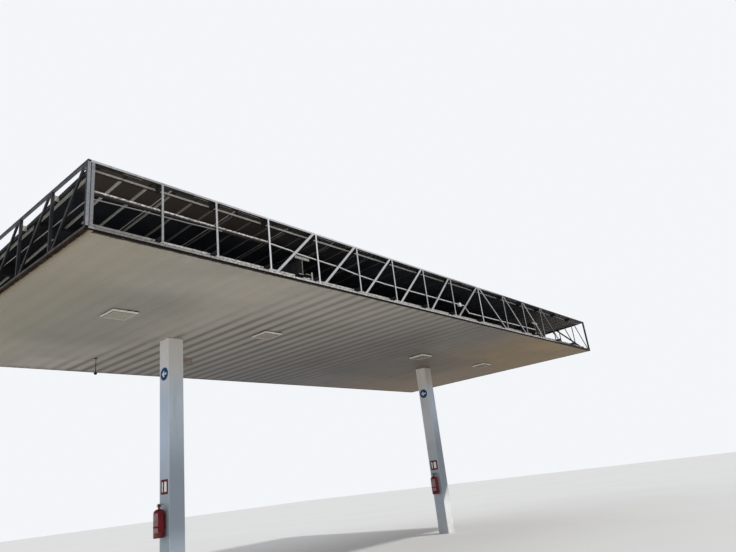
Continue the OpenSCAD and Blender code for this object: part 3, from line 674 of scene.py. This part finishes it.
def front_frame_finish():
    """Front, back and right frames: pale outside; undersides and inner faces dark as painted shade, as are
    the members near the right end and the mid bar's lower band.
    """
    p = Paint("front_frame_paint")
    left_part = p.times(p.band(p.x, -2.2, -1), p.band(p.x, 5.5, 1.5))
    fresh = [(p.span(p.x, *ends, 0.01), 0.6, (0.69, 0.69, 0.71)) for ends in FRESH_LENGTHS]
    dull = [(p.span(p.x, *ends, 0.10), 0.25, (0.13, 0.13, 0.13)) for ends in DULL_LENGTHS]
    chord = p.band(p.z, JOINT_LOW + 0.020, JOINT_LOW + 0.005)
    chord_tone = p.mix(p.band(p.x, -0.4, -2.6), (0.64, 0.62, 0.61), (0.27, 0.255, 0.245))
    speckle = p.patches(0.44, 0.56, 30, 6, 0.75, (1, 1, 1.5))
    grimy_end = p.times(p.band(p.z, JOINT_LOW + 0.06, JOINT_LOW + 0.05), p.band(p.x, -2.1, -2.9),
                        p.span(p.x, -3.24, 0, 0.01))
    bar = p.times(p.span(p.z, BAR_FOOT, BAR_TOP, 0.002), p.band(p.x, -0.66, -0.68),
                  p.band(p.y, Y_FRONT + 0.022, Y_FRONT + 0.023))
    # painted shade: the lower part of the mid bar's front face goes near-black, for the shade under it
    bar_shade_band = p.band(p.ragged(p.z, 0.03, 26, 4), BAR_FOOT + 0.030, BAR_FOOT + 0.023)
    corner = p.times(p.band(p.from_side(), 0.105, 0.093),
                     p.span(p.z, JOINT_LOW + 0.002, JOINT_HIGH - 0.002, 0.003))
    shaded = p.times(p.band(p.x, 7.9, 9.4), p.scale_to(p.times(chord, p.band(p.x, 9.6, 8.8)), 1, 0.25))
    top = p.times(p.band(p.z, JOINT_HIGH - 0.007, JOINT_HIGH), p.band(p.x, 5.5, 7))
    pale = p.coated(
        weathered(p, (0.45, 0.455, 0.45), (0.31, 0.315, 0.315)),
        (left_part, 0.5, (0.56, 0.56, 0.575)), *fresh, *dull,
        (chord, 0.8, chord_tone),
        (chord, p.times(speckle, 0.75), (0.13, 0.11, 0.10)),
        (grimy_end, p.scale_to(speckle, 0.55, 0.85), (0.12, 0.115, 0.110)),
        (bar, 0.8, (0.68, 0.66, 0.64)),
        (bar, p.times(speckle, 0.8), (0.085, 0.062, 0.050)),
        (bar, bar_shade_band, (0.020, 0.012, 0.009)),
        (corner, 0.75, (0.15, 0.155, 0.165)),
        (p.most(shaded, top), 0.96, shade_dark_primer(p)))
    rusty = p.patches(0.45, 0.62, 12, 4, 0.65)
    dark = p.coated(shade_dark_primer(p), (rusty, 0.8, (0.075, 0.042, 0.026)))
    # painted shade: undersides and left-facing faces take the dark tone
    shade_faces = p.most(p.band(p.nz, -0.4, -0.7), p.band(p.nx, -0.5, -0.8))
    return p.finish(p.mix(shade_faces, pale, dark), roughened(p, 0.55, 0.80), 0.15)


def side_frame_finish():
    """Left frame: outer faces dark primer as painted shade; undersides at the top and the corner post's
    front face pale as painted light.
    """
    p = Paint("left_frame_paint")
    pale = weathered(p, (0.25, 0.27, 0.295), (0.17, 0.185, 0.20))
    # painted light: undersides near the top, and the corner post's front face, take the pale tone
    under = p.times(p.band(p.nz, -0.4, -0.7), p.band(p.z, FRAME_TOP - 0.085, FRAME_TOP - 0.065))
    corner = p.times(p.band(p.ny, -0.4, -0.7), p.band(p.y, Y_FRONT + 0.012, Y_FRONT + 0.006),
                     p.span(p.z, JOINT_LOW, JOINT_HIGH, 0.002))
    foot = edge_dirt(p, p.z, JOINT_LOW + 0.002, JOINT_LOW - 0.002, (18, 5, 0.7), 0.38, 0.6)
    rim = p.times(p.span(p.z, FRAME_TOP - 0.023, FRAME_TOP - 0.004, 0.002), p.patches(0.4, 0.6, 8, 4))
    dark = p.coated(shade_dark_primer(p), (foot, 0.75, (0.10, 0.072, 0.05)), (rim, 0.25, (0.12, 0.12, 0.12)))
    return p.finish(p.mix(p.most(under, corner), dark, pale), roughened(p, 0.55, 0.80), 0.15)


def arm_finish(name, side):
    """Arms: painted light and shade, pale on the face where the light falls along them, dark on their other
    faces.
    """
    p = Paint(name)
    pale = weathered(p, (0.50, 0.48, 0.44), (0.36, 0.345, 0.31))
    open_face = p.band(p.ny, -0.4, -0.7) if side else p.band(p.nx, 0.4, 0.7)
    return p.finish(p.mix(open_face, shade_dark_primer(p), pale), roughened(p, 0.55, 0.80), 0.12)


def rail_finish():
    """Rails: front face pale as painted light, underside brown and ends dark as painted shade."""
    p = Paint("rail_paint")
    low = p.band(p.z, JOINT_LOW + 0.25, JOINT_LOW + 0.20)
    speckle = p.patches(0.46, 0.58, 30, 6, 0.75, (1, 1, 1.5))
    pale = p.coated(
        weathered(p, (0.76, 0.745, 0.70), (0.60, 0.585, 0.54)),
        (low, p.times(speckle, 0.7), (0.15, 0.13, 0.12)),
        (low, p.times(p.band(p.x, -1.9, -2.9), 0.8), (0.15, 0.145, 0.140)),
        (p.band(p.x, 1, 6), p.scale_to(low, 0.6, 0.25), (0.22, 0.22, 0.22)))
    # painted shade: undersides and ends take the dark tone
    shade_faces = p.most(p.band(p.nz, -0.4, -0.7), p.band(p.absolute(p.nx), 0.5, 0.8))
    dark = p.mix(0.5, shade_dark_primer(p), (0.050, 0.034, 0.026))
    return p.finish(p.mix(shade_faces, pale, dark), roughened(p, 0.5, 0.8), 0.15)


def beam_finish():
    """Beams, posts and plates: dark primer as painted shade, with the front faces of the cleats and web
    ends paler as painted light.
    """
    p = Paint("beam_paint")
    pale = weathered(p, (0.48, 0.46, 0.42), (0.33, 0.32, 0.29))
    end = Y_FRONT + BEAM_SET
    front = p.band(p.ny, -0.4, -0.7)
    # painted light: the front faces at the beam ends are pale
    lit_cleat_face = p.times(p.band(p.y, end + 0.0012, end + 0.0005), front)
    lit_web_end = p.times(front, p.span(p.y, end - 0.005, end + 0.005, 0.002))
    return p.finish(p.mix(p.most(lit_cleat_face, lit_web_end), shade_dark_primer(p), pale), roughened(p, 0.5, 0.8), 0.15)


def lamp_underside_shade(p):
    """Painted shade on the lamps' undersides: grey at the left, brown at the right."""
    tone = p.mix(p.band(p.x, 0, 2), (0.40, 0.365, 0.295), (0.33, 0.275, 0.258))
    return p.mix(p.band(p.x, 5, 7), tone, (0.215, 0.175, 0.140))


def lamp_finish():
    """Cream lamp housing: sides bright as painted light, and an underside darkened as painted shade, with
    dust.
    """
    p = Paint("lamp_housing_paint")
    dust = p.patches(0.42, 0.68, 18, 4, 0.6)
    under = p.coated(
        lamp_underside_shade(p),
        (dust, 0.3, (0.16, 0.145, 0.12)),
        (lamp_joint_shade(p), 0.8, (0.085, 0.078, 0.066)))
    # painted light: the housing's sides are near-white cream
    side = p.mix(dust, (0.96, 0.93, 0.85), (0.84, 0.80, 0.72))
    colour = p.mix(p.band(p.nz, -0.8, -0.5), under, side)
    p.raised(p.noise(70, 3), 0.15, 0.002)
    return p.finish(colour, p.scale_to(dust, 0.55, 0.75), 0.15)


def lens_finish():
    """Ribbed lens of a lamp: in the undersides' painted shade, dull and dusty, with insects in its grooves.
    """
    p = Paint("lamp_lens")
    dust = p.patches(0.40, 0.70, 24, 4, 0.6)
    insects = p.band(p.cells(34), 0.22, 0.08)
    colour = p.coated(
        lamp_underside_shade(p),
        (dust, 0.3, (0.17, 0.155, 0.13)),
        (insects, p.patches(0.45, 0.58, 6, 2), (0.10, 0.08, 0.06)))
    p.raised(p.noise(120, 2), 0.1, 0.001)
    return p.finish(colour, p.scale_to(dust, 0.45, 0.65), 0.15)


def plain_finish(name, colour, worn, rough, shine=0.4, metal=0.0):
    """A painted or moulded finish with worn patches and a fine grain."""
    p = Paint(name)
    wear = p.patches(0.48, 0.70, 14, 5, 0.65)
    grime = p.patches(0.50, 0.75, 5, 4, 0.6)
    tone = p.coated(colour, (wear, 0.6, worn), (grime, 0.3, scaled(colour, 0.45)))
    p.raised(p.noise(90, 3), 0.2, 0.001)
    return p.finish(tone, p.scale_to(wear, rough, min(rough + 0.2, 0.95)), shine, metal)


def conduit_finish():
    """Grey conduit and box, dusty; the thin line by the left corner is darker."""
    p = Paint("conduit_plastic")
    dust = p.patches(0.46, 0.70, 14, 5, 0.65)
    thin = p.band(p.x, -1.40, -1.48)
    colour = p.mix(dust, (0.62, 0.62, 0.59), (0.40, 0.39, 0.36))
    colour = p.coated(colour, (thin, 0.8, (0.16, 0.155, 0.15)))
    p.raised(p.noise(70, 3), 0.2, 0.001)
    return p.finish(colour, p.scale_to(dust, 0.45, 0.7), 0.4)


def extinguisher_finish():
    """Red bottle with scuffed shoulders, black valve, and its bracket; its red is the dark red of its
    shaded side, as painted shade.
    """
    p = Paint("extinguisher_paint")
    scuff = p.patches(0.56, 0.68, 26, 5, 0.7)
    foot = p.span(p.z, BOTTLE_FOOT, BOTTLE_FOOT + 0.025, 0.004)
    shoulder = p.span(p.z, BOTTLE_TOP - 0.075, BOTTLE_TOP, 0.01)
    red = p.coated(
        # painted shade: the red is darkened to the tone of the bottle's shaded side
        p.mix(p.patches(0.4, 0.7, 5, 3), (0.11, 0.003, 0.006), (0.17, 0.005, 0.009)),
        (scuff, p.times(p.most(foot, shoulder), 0.6), (0.12, 0.03, 0.025)),
        (p.patches(0.5, 0.75, 4, 4), 0.25, DUST))
    brass = p.mix(scuff, (0.20, 0.15, 0.06), (0.10, 0.08, 0.04))
    black = p.mix(scuff, (0.014, 0.014, 0.015), (0.05, 0.05, 0.05))
    colour = p.mix(p.band(p.z, BOTTLE_TOP - 0.0005, BOTTLE_TOP + 0.0005), red, brass)
    colour = p.mix(p.band(p.z, NECK_TOP - 0.0005, NECK_TOP + 0.0005), colour, black)
    p.raised(p.times(p.noise(40, 3), 0.4), 0.12, 0.002)
    return p.finish(colour, p.scale_to(scuff, 0.35, 0.6), 0.18)


def paint_node(name, mat):
    """Give every material slot of a node's object the same finish."""
    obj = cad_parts[name]
    slots = obj.material_slots
    if not slots:
        obj.data.materials.append(mat)
    for slot in slots:
        slot.material = mat


def finishes():
    """Which finish each node wears: the first whose words are in the node's name."""
    rail, grey, side_arm = rail_finish(), conduit_finish(), arm_finish("side_arm_paint", True)
    dome = plain_finish("dark_plastic", (0.008, 0.008, 0.009), (0.03, 0.03, 0.03), 0.6, 0.1)
    worn = (
        ("casing", casing_finish()),
        ("soffit_light", lamp_finish()),
        # painted shade: the soffit rails take a copy of the zinc at 0.35 of its brightness
        ("soffit_rail", zinc_finish("soffit_rail_paint", 0.35)),
        ("edge_trim", trim_finish()),
        ("soffit", soffit_finish()),
        ("roof_sheets", deck_finish()),
        ("flashing", closure_finish()),
        ("gutter", zinc_finish("zinc_paint", 1.0)),
        ("left_fascia_frame", side_frame_finish()),
        ("fascia_frame", front_frame_finish()),
        ("left_arms", side_arm),
        ("right_arms", side_arm),
        ("arms", arm_finish("front_arm_paint", False)),
        ("eave_rail", rail),
        ("low_rails", rail),
        ("conduit", grey),
        ("junction_box", grey),
        ("drop_rod", dome),
        ("extinguisher", extinguisher_finish()),
        ("", beam_finish()),
    )
    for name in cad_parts:
        paint_node(name, next(mat for words, mat in worn if words in name))


# Pieces made here: closed solids gathered in one mesh per kind.
def meshed(name, bm, mat):
    """Turn a bmesh into an object with one material."""
    mesh = bpy.data.meshes.new(name)
    bm.to_mesh(mesh)
    bm.free()
    mesh.materials.append(mat)
    return placed(name, mesh)


def add_piece(name, bm, mat):
    """Turn a bmesh into an object that rides on the canopy."""
    bmesh.ops.recalc_face_normals(bm, faces=bm.faces)
    obj = meshed(name, bm, mat)
    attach(obj, "root")


def stacked(bm, rings, place):
    """A closed solid from rings of points, moved to its place."""
    made = [[bm.verts.new(place @ Vector(point)) for point in ring] for ring in rings]
    count = len(made[0])
    for low, high in zip(made, made[1:]):
        for i in range(count):
            j = (i + 1) % count
            bm.faces.new((low[i], low[j], high[j], high[i]))
    bm.faces.new(list(reversed(made[0])))
    bm.faces.new(made[-1])


def circle(radius, height, count, turn=0.0):
    """Points round the Z axis at one height."""
    angles = [turn + 2 * pi / count * i for i in range(count)]
    return [(radius * cos(angle), radius * sin(angle), height) for angle in angles]


def lathed(bm, profile, count, place, turn=0.0):
    """A solid turned round the Z axis from pairs of radius and height."""
    stacked(bm, [circle(radius, height, count, turn) for radius, height in profile], place)


def curved_strip(inner, outer, start, end, count):
    """Section of a bent strip: out along one arc and back along the other."""
    angles = [start + (end - start) * i / count for i in range(count + 1)]
    way = [(cos(angle), sin(angle)) for angle in angles]
    return [(outer * u, outer * v) for u, v in way] + [(inner * u, inner * v) for u, v in reversed(way)]


def corners(half_wide, half_tall):
    """The four corners of a rectangle round the origin."""
    return [(u * half_wide, v * half_tall) for u in (-1, 1) for v in (-1, 1)]


TO_LEFT, TO_FRONT, TO_BACK, UP, DOWN = (-1, 0, 0), (0, -1, 0), (0, 1, 0), (0, 0, 1), (0, 0, -1)


def facing(at, way):
    """A matrix that turns +Z to way and moves to at."""
    return Matrix.Translation(Vector(at)) @ Vector(way).to_track_quat("Z", "Y").to_matrix().to_4x4()


def hex_head(bm, at, way, across, tall, turn=0.0):
    """A washer with a chamfered hexagon head on it."""
    washer, head = across * 0.95, across / sqrt(3)
    rim, neck, shoulder = tall * 0.18, tall * 0.25, tall * 0.85
    place = facing(at, way)
    lathed(bm, ((washer, 0), (washer, rim), (washer * 0.94, neck)), 20, place)
    lathed(bm, ((head, neck), (head, shoulder), (head * 0.86, tall)), 6, place, turn)


def dome_head(bm, at, way, across, tall):
    """A rivet or screw head with a flat rim and a round top."""
    half = across / 2
    top = [(half * cos(a), tall * (0.2 + 0.8 * sin(a))) for a in (0.0, 0.5, 1.0, 1.35)]
    lathed(bm, [(half, 0)] + top, 12, facing(at, way))


def bead(bm, start, end, size, rng):
    """A weld bead between two points, a little uneven."""
    start, end = Vector(start), Vector(end)
    run = end - start
    steps = 6
    profile = []
    for i in range(steps + 1):
        taper = 0.45 if i in (0, steps) else 1.0
        radius = size * taper * (1.0 + 0.25 * rng.uniform(-1, 1))
        profile.append((radius, run.length * i / steps))
    lathed(bm, profile, 8, facing(start, run))


def slab(bm, outline, thick, place, chamfer=0.0):
    """A flat plate with the given outline, chamfered round its outer face."""
    rings = [[(u, v, 0.0) for u, v in outline], [(u, v, thick - chamfer) for u, v in outline]]
    if chamfer:
        wide = max(abs(u) for u, _ in outline)
        tall = max(abs(v) for _, v in outline)
        rings.append([(u * (1 - chamfer / wide), v * (1 - chamfer / tall), thick) for u, v in outline])
    stacked(bm, rings, place)


def rounded(width, height, radius, steps=6):
    """Outline of a rectangle with rounded corners, centred on the origin."""
    points = []
    for turn, (sx, sy) in enumerate(((1, 1), (-1, 1), (-1, -1), (1, -1))):
        cx, cy = sx * (width / 2 - radius), sy * (height / 2 - radius)
        for i in range(steps + 1):
            angle = pi / 2 * (turn + i / steps)
            points.append((cx + radius * cos(angle), cy + radius * sin(angle)))
    return points


def sign_place(column, height, depth=0.0):
    """Where a sign's plane lies: on a casing's left face, u to +Y and v up."""
    at = Vector((column - CASING_HALF - depth, 0, height))
    return Matrix.Translation(at) @ Matrix(((0, 0, -1, 0), (1, 0, 0, 0), (0, 1, 0, 0), (0, 0, 0, 1)))


# The signs on each column's left face: a round disc above, a red plate below.
SIGN_THICK = 0.003
SIGN_CHAMFER = 0.0012
MARK_THICK = 0.0008
DISC_RADIUS = 0.12
DISC_HEIGHTS = (3.743, 3.676)
PLATE_WIDE, PLATE_TALL, PLATE_ROUND = 0.222, 0.244, 0.012
PLATE_HEIGHTS = (1.791, 1.732)
MARK_TALL = 0.168
RIVET_WIDE, RIVET_TALL, RIVET_IN = 0.008, 0.0025, 0.014
# Width, corner radius, steps in a corner, and place along u of the marks on a plate.
PLATE_MARKS = ((0.030, 0.009, 3, 0.060), (0.075, 0.020, 4, -0.035))


def arrow_outline():
    """A plain arrow that points along u."""
    return [(0.078, 0.0), (0.012, 0.062), (-0.010, 0.040), (0.012, 0.018), (-0.074, 0.018),
            (-0.074, -0.018), (0.012, -0.018), (-0.010, -0.040), (0.012, -0.062)]


def make_signs():
    """The blue discs with a plain arrow and the red plates with plain shapes."""
    blue = plain_finish("sign_blue", (0.004, 0.060, 0.20), (0.010, 0.075, 0.22), 0.45, 0.12)
    red = plain_finish("sign_red", (0.115, 0.003, 0.008), (0.085, 0.006, 0.010), 0.45, 0.12)
    white = plain_finish("sign_white", (0.74, 0.74, 0.72), (0.60, 0.58, 0.54), 0.4, 0.5)
    zinc = plain_finish("rivet_zinc", (0.45, 0.45, 0.44), (0.25, 0.22, 0.19), 0.4, 0.5, 0.6)
    discs, plates, marks, rivets = (bmesh.new() for _ in range(4))
    plate_rivets = corners(PLATE_WIDE / 2 - RIVET_IN, PLATE_TALL / 2 - RIVET_IN)
    disc_rivets = ((0, RIVET_IN - DISC_RADIUS), (0, DISC_RADIUS - RIVET_IN))
    disc = [(u, v) for u, v, _ in circle(DISC_RADIUS, 0, 64)]
    plate = rounded(PLATE_WIDE, PLATE_TALL, PLATE_ROUND)
    for column, high, low in zip(COLUMNS, DISC_HEIGHTS, PLATE_HEIGHTS):
        on_disc, on_plate = sign_place(column, high, SIGN_THICK), sign_place(column, low, SIGN_THICK)
        slab(discs, disc, SIGN_THICK, sign_place(column, high), SIGN_CHAMFER)
        slab(plates, plate, SIGN_THICK, sign_place(column, low), SIGN_CHAMFER)
        slab(marks, arrow_outline(), MARK_THICK, on_disc)
        for wide, bend, steps, at in PLATE_MARKS:
            mark = rounded(wide, MARK_TALL, bend, steps)
            slab(marks, mark, MARK_THICK, on_plate @ Matrix.Translation((at, 0, 0)))
        spots = [on_plate @ Vector((u, v, 0)) for u, v in plate_rivets]
        spots += [on_disc @ Vector((u, v, 0)) for u, v in disc_rivets]
        for at in spots:
            dome_head(rivets, at, TO_LEFT, RIVET_WIDE, RIVET_TALL)
    add_piece("sign_discs", discs, blue)
    add_piece("sign_plates", plates, red)
    add_piece("sign_marks", marks, white)
    add_piece("sign_rivets", rivets, zinc)


# Fasteners, in metres.
SCREW_WIDE, SCREW_TALL, SCREW_EDGE, SCREW_TURN = 0.010, 0.007, 0.1, 0.3
SIDE_RIVET_IN, SIDE_RIVET_FIRST, SIDE_RIVET_GAP, SIDE_RIVET_COUNT = 0.045, 0.18, 0.45, 15
END_RIVET_IN, END_RIVET_COUNT = 0.011, 49
SIDE_RIVET_WIDE, END_RIVET_WIDE, TRIM_RIVET_TALL = 0.009, 0.008, 0.003
WELD_IN, WELD_SUNK, WELD_RADIUS = 0.0045, 0.0008, 0.0028
BOLT_WIDE, BOLT_TALL = 0.016, 0.009
CLEAT_BOLTS = (-0.115, -0.04, 0.04, 0.115)
CLEAT_BOLT_Z = 4.812
SEAT_BOLT_OUT = 0.062
SEAT_TOP = 4.84
CLIP_INNER, CLIP_OUTER, CLIP_HALF, CLIP_BACK = 0.0105, 0.0125, 0.006, 0.010
CLIP_FIRST, CLIP_HEIGHTS = 5, (4.782, 4.750, 4.750, 4.750)


def make_roof_screws(steel):
    """Screws with washers that hold the roof sheets to the beams and rails."""
    bm = bmesh.new()
    slope = atan(ROOF_FALL)
    up = (0.0, sin(slope), cos(slope))
    for y in ROOF_BEAM_YS + EAVE_ROWS:
        for k in range(RIB_COUNT):
            x = RIB_FIRST + RIB_GAP * (k + 0.5)
            if x < X_RIGHT - SCREW_EDGE:
                at = (x, y, roof_plane(y) + DECK_THICK)
                hex_head(bm, at, up, SCREW_WIDE, SCREW_TALL, SCREW_TURN * k)
    add_piece("roof_screws", bm, steel)


def make_trim_rivets(steel):
    """Rivets along the lower flange of the edge trim."""
    bm = bmesh.new()
    under = SOFFIT_Z - TRIM_THICK
    for x in (X_LEFT + SIDE_RIVET_IN, X_RIGHT - SIDE_RIVET_IN):
        for i in range(SIDE_RIVET_COUNT):
            y = Y_FRONT + SIDE_RIVET_FIRST + SIDE_RIVET_GAP * i
            dome_head(bm, (x, y, under), DOWN, SIDE_RIVET_WIDE, TRIM_RIVET_TALL)
    for y in (Y_FRONT + END_RIVET_IN, Y_BACK - END_RIVET_IN):
        for i in range(END_RIVET_COUNT):
            x = PAN_SEAM + PAN_GAP * (i + 0.5)
            dome_head(bm, (x, y, under), DOWN, END_RIVET_WIDE, TRIM_RIVET_TALL)
    add_piece("trim_rivets", bm, steel)


def make_welds(steel):
    """Weld beads where the verticals meet the chords of the frames."""
    bm = bmesh.new()
    rng = random.Random(7)
    leg = LEG_WIDE / 2 - LEG_THICK
    ends = [x + leg - WELD_SUNK for x in front_stations()[1:-1]]
    sides = [y - leg + WELD_SUNK for y in side_stations()[1:-1]]
    frames = ((ends, Y_FRONT, 1, LEG_DEEP), (ends, Y_BACK, -1, LEG_DEEP),
              (sides, X_LEFT, 1, SIDE_LEG_DEEP), (sides, X_RIGHT, -1, SIDE_LEG_DEEP))
    for edges, face, inward, deep in frames:
        for edge in edges:
            for z in (JOINT_LOW, JOINT_HIGH):
                line = [(edge, face + inward * reach, z) for reach in (WELD_IN, deep)]
                if edges is sides:
                    line = [(x, y, z) for y, x, z in line]
                bead(bm, *line, WELD_RADIUS, rng)
    add_piece("frame_welds", bm, steel)


def make_beam_bolts(steel):
    """Bolts through the cleats on the cross beams' ends and through the seats on their tops."""
    bm = bmesh.new()
    cleat_in = BEAM_SET - CLEAT_THICK
    for column in COLUMNS:
        for dx in CLEAT_BOLTS:
            for y, way in ((Y_FRONT + cleat_in, TO_FRONT), (Y_BACK - cleat_in, TO_BACK)):
                hex_head(bm, (column + dx, y, CLEAT_BOLT_Z), way, BOLT_WIDE, BOLT_TALL)
        for y in ROOF_BEAM_YS:
            for dx, dy in corners(SEAT_BOLT_OUT, SEAT_BOLT_OUT):
                hex_head(bm, (column + dx, y + dy, SEAT_TOP), UP, BOLT_WIDE, BOLT_TALL)
    add_piece("beam_bolts", bm, steel)


def make_clips(steel):
    """Saddles that hold the conduit to the verticals of the front frame."""
    bm = bmesh.new()
    section = curved_strip(CLIP_INNER, CLIP_OUTER, -pi / 2, pi / 2, 8)
    for x, z in zip(front_stations()[CLIP_FIRST:], CLIP_HEIGHTS):
        place = Matrix.Translation((x, Y_FRONT + LEG_DEEP + CLIP_BACK, z))
        stacked(bm, [[(dx, u, v) for u, v in section] for dx in (-CLIP_HALF, CLIP_HALF)], place)
    add_piece("conduit_clips", bm, steel)


# The lamps' lenses, screws and catches, in metres.
RIDGE_COUNT = 22
RIDGE_VALLEY, RIDGE_CREST = -0.0008, -0.0034
LENS_NARROWER, LENS_SHIFT, LENS_END_GAP = 0.012, 0.004, 0.002
LAMP_SCREW_WIDE, LAMP_SCREW_TALL = 0.009, 0.002
CATCH_WIDE, CATCH_LONG, CATCH_ROUND, CATCH_THICK, CATCH_CHAMFER = 0.020, 0.036, 0.004, 0.0022, 0.0006


def lens_ridges(width):
    """Section of a ribbed lens: a flat back and small ridges below it."""
    pitch = width / RIDGE_COUNT
    points = []
    for i in range(RIDGE_COUNT):
        start = -width / 2 + pitch * i
        points += [(start, RIDGE_VALLEY), (start + pitch / 2, RIDGE_CREST)]
    return points + [(width / 2, RIDGE_VALLEY), (width / 2, 0.0), (-width / 2, 0.0)]


def make_lamps(lens, steel):
    """Ribbed lenses, corner screws and catches of the four soffit lamps."""
    lenses, screws = bmesh.new(), bmesh.new()
    for name in LAMPS:
        centre = Vector((middle(name, 0), middle(name, 1), faces(name, 2)[0]))
        half = faces(name, 0)[1] - centre.x
        reach, rim = half - LAMP_RIM, half - LAMP_RIM / 2
        section = lens_ridges(2 * reach - LENS_NARROWER)
        rings = [[(u, end, v) for u, v in section] for end in (LENS_END_GAP - reach, reach - LENS_END_GAP)]
        stacked(lenses, rings, Matrix.Translation(centre + Vector((-LENS_SHIFT, 0, LAMP_RECESS))))
        for dx, dy in corners(rim, rim):
            dome_head(screws, centre + Vector((dx, dy, 0)), DOWN, LAMP_SCREW_WIDE, LAMP_SCREW_TALL)
        for dx in (-rim, rim):
            place = Matrix.Translation(centre + Vector((dx, 0, 0))) @ Matrix.Rotation(pi, 4, "X")
            slab(screws, rounded(CATCH_WIDE, CATCH_LONG, CATCH_ROUND, 3), CATCH_THICK, place, CATCH_CHAMFER)
    add_piece("lamp_lenses", lenses, lens)
    add_piece("lamp_screws", screws, steel)


# The extinguishers' labels, gauges and safety rings, in metres.
BRACKET_DEEP = 0.012
LABEL_RADIUS, LABEL_THICK, LABEL_HALF_ANGLE = 0.0903, 0.0008, 0.85
LABEL_HEIGHTS = (1.08, 1.38)
GAUGE_PROFILE = ((0.017, 0), (0.017, 0.006), (0.014, 0.008))
GAUGE_OUT, GAUGE_Z = 0.022, BOTTLE_TOP + 0.047
RING_RADIUS, RING_WIRE, RING_TILT = 0.012, 0.0018, 1.2
RING_OUT, RING_BACK, RING_UP = 0.030, 0.012, 0.018


def torus(bm, place, major, minor, count=20, side=8):
    """A closed ring."""
    section = [(major + u, v) for u, v, _ in circle(minor, 0, side)]
    rings = [[bm.verts.new(place @ Vector((out * x, out * y, up))) for out, up in section]
             for x, y, _ in circle(1.0, 0, count)]
    for here, after in zip(rings, rings[1:] + rings[:1]):
        for i in range(side):
            j = (i + 1) % side
            bm.faces.new((here[i], after[i], after[j], here[j]))


def make_extinguisher_parts(steel):
    """Blank labels, gauges and safety rings of the extinguishers."""
    labels, fittings = bmesh.new(), bmesh.new()
    # painted shade: the blank labels' pale tone is darkened to a dull pinkish grey
    blank = plain_finish("blank_label", (0.27, 0.20, 0.20), (0.16, 0.08, 0.08), 0.6, 0.15)
    label = curved_strip(LABEL_RADIUS, LABEL_RADIUS + LABEL_THICK,
                         pi - LABEL_HALF_ANGLE, pi + LABEL_HALF_ANGLE, 18)
    for column in COLUMNS:
        centre = column - CASING_HALF - BRACKET_DEEP - BOTTLE_RADIUS
        place = Matrix.Translation((centre, 0, 0))
        stacked(labels, [[(x, y, z) for x, y in label] for z in LABEL_HEIGHTS], place)
        lathed(fittings, GAUGE_PROFILE, 24, facing((centre - GAUGE_OUT, 0.0, GAUGE_Z), TO_LEFT))
        at = Matrix.Translation((centre - RING_OUT, RING_BACK, GAUGE_Z + RING_UP))
        torus(fittings, at @ Matrix.Rotation(RING_TILT, 4, "Y"), RING_RADIUS, RING_WIRE)
    add_piece("blank_labels", labels, blank)
    add_piece("safety_rings", fittings, steel)


def make_floor():
    """A plain pale floor that keeps the canopy's shadow."""
    p = Paint("floor_tone")
    grain = p.patches(0.3, 0.7, 0.25, 3)
    mat = p.finish(p.mix(grain, FLOOR_TONE, scaled(FLOOR_TONE, 1.03)), 0.9, 0.2)
    bm = bmesh.new()
    square = ((-1, -1), (1, -1), (1, 1), (-1, 1))
    bm.faces.new([bm.verts.new((x * FLOOR_HALF, y * FLOOR_HALF, FLOOR_Z)) for x, y in square])
    meshed("floor", bm, mat)


make_camera()
make_lamp("key_light", TO_SUN, SUN_STRENGTH, SUN_SPREAD)
make_lamp("side_fill", TO_FILL, FILL_STRENGTH, FILL_SPREAD)
make_sky()
make_floor()
finishes()
STEEL = plain_finish("fastener_steel", (0.36, 0.35, 0.33), (0.15, 0.085, 0.05), 0.45, 0.5, 0.5)
WELD = plain_finish("weld_steel", (0.14, 0.12, 0.11), (0.11, 0.05, 0.025), 0.6)
make_signs()
make_roof_screws(STEEL)
make_trim_rivets(STEEL)
make_welds(WELD)
make_beam_bolts(STEEL)
make_lamps(lens_finish(), STEEL)
make_extinguisher_parts(STEEL)
make_clips(STEEL)
bpy.context.scene.view_settings.view_transform = "Standard"
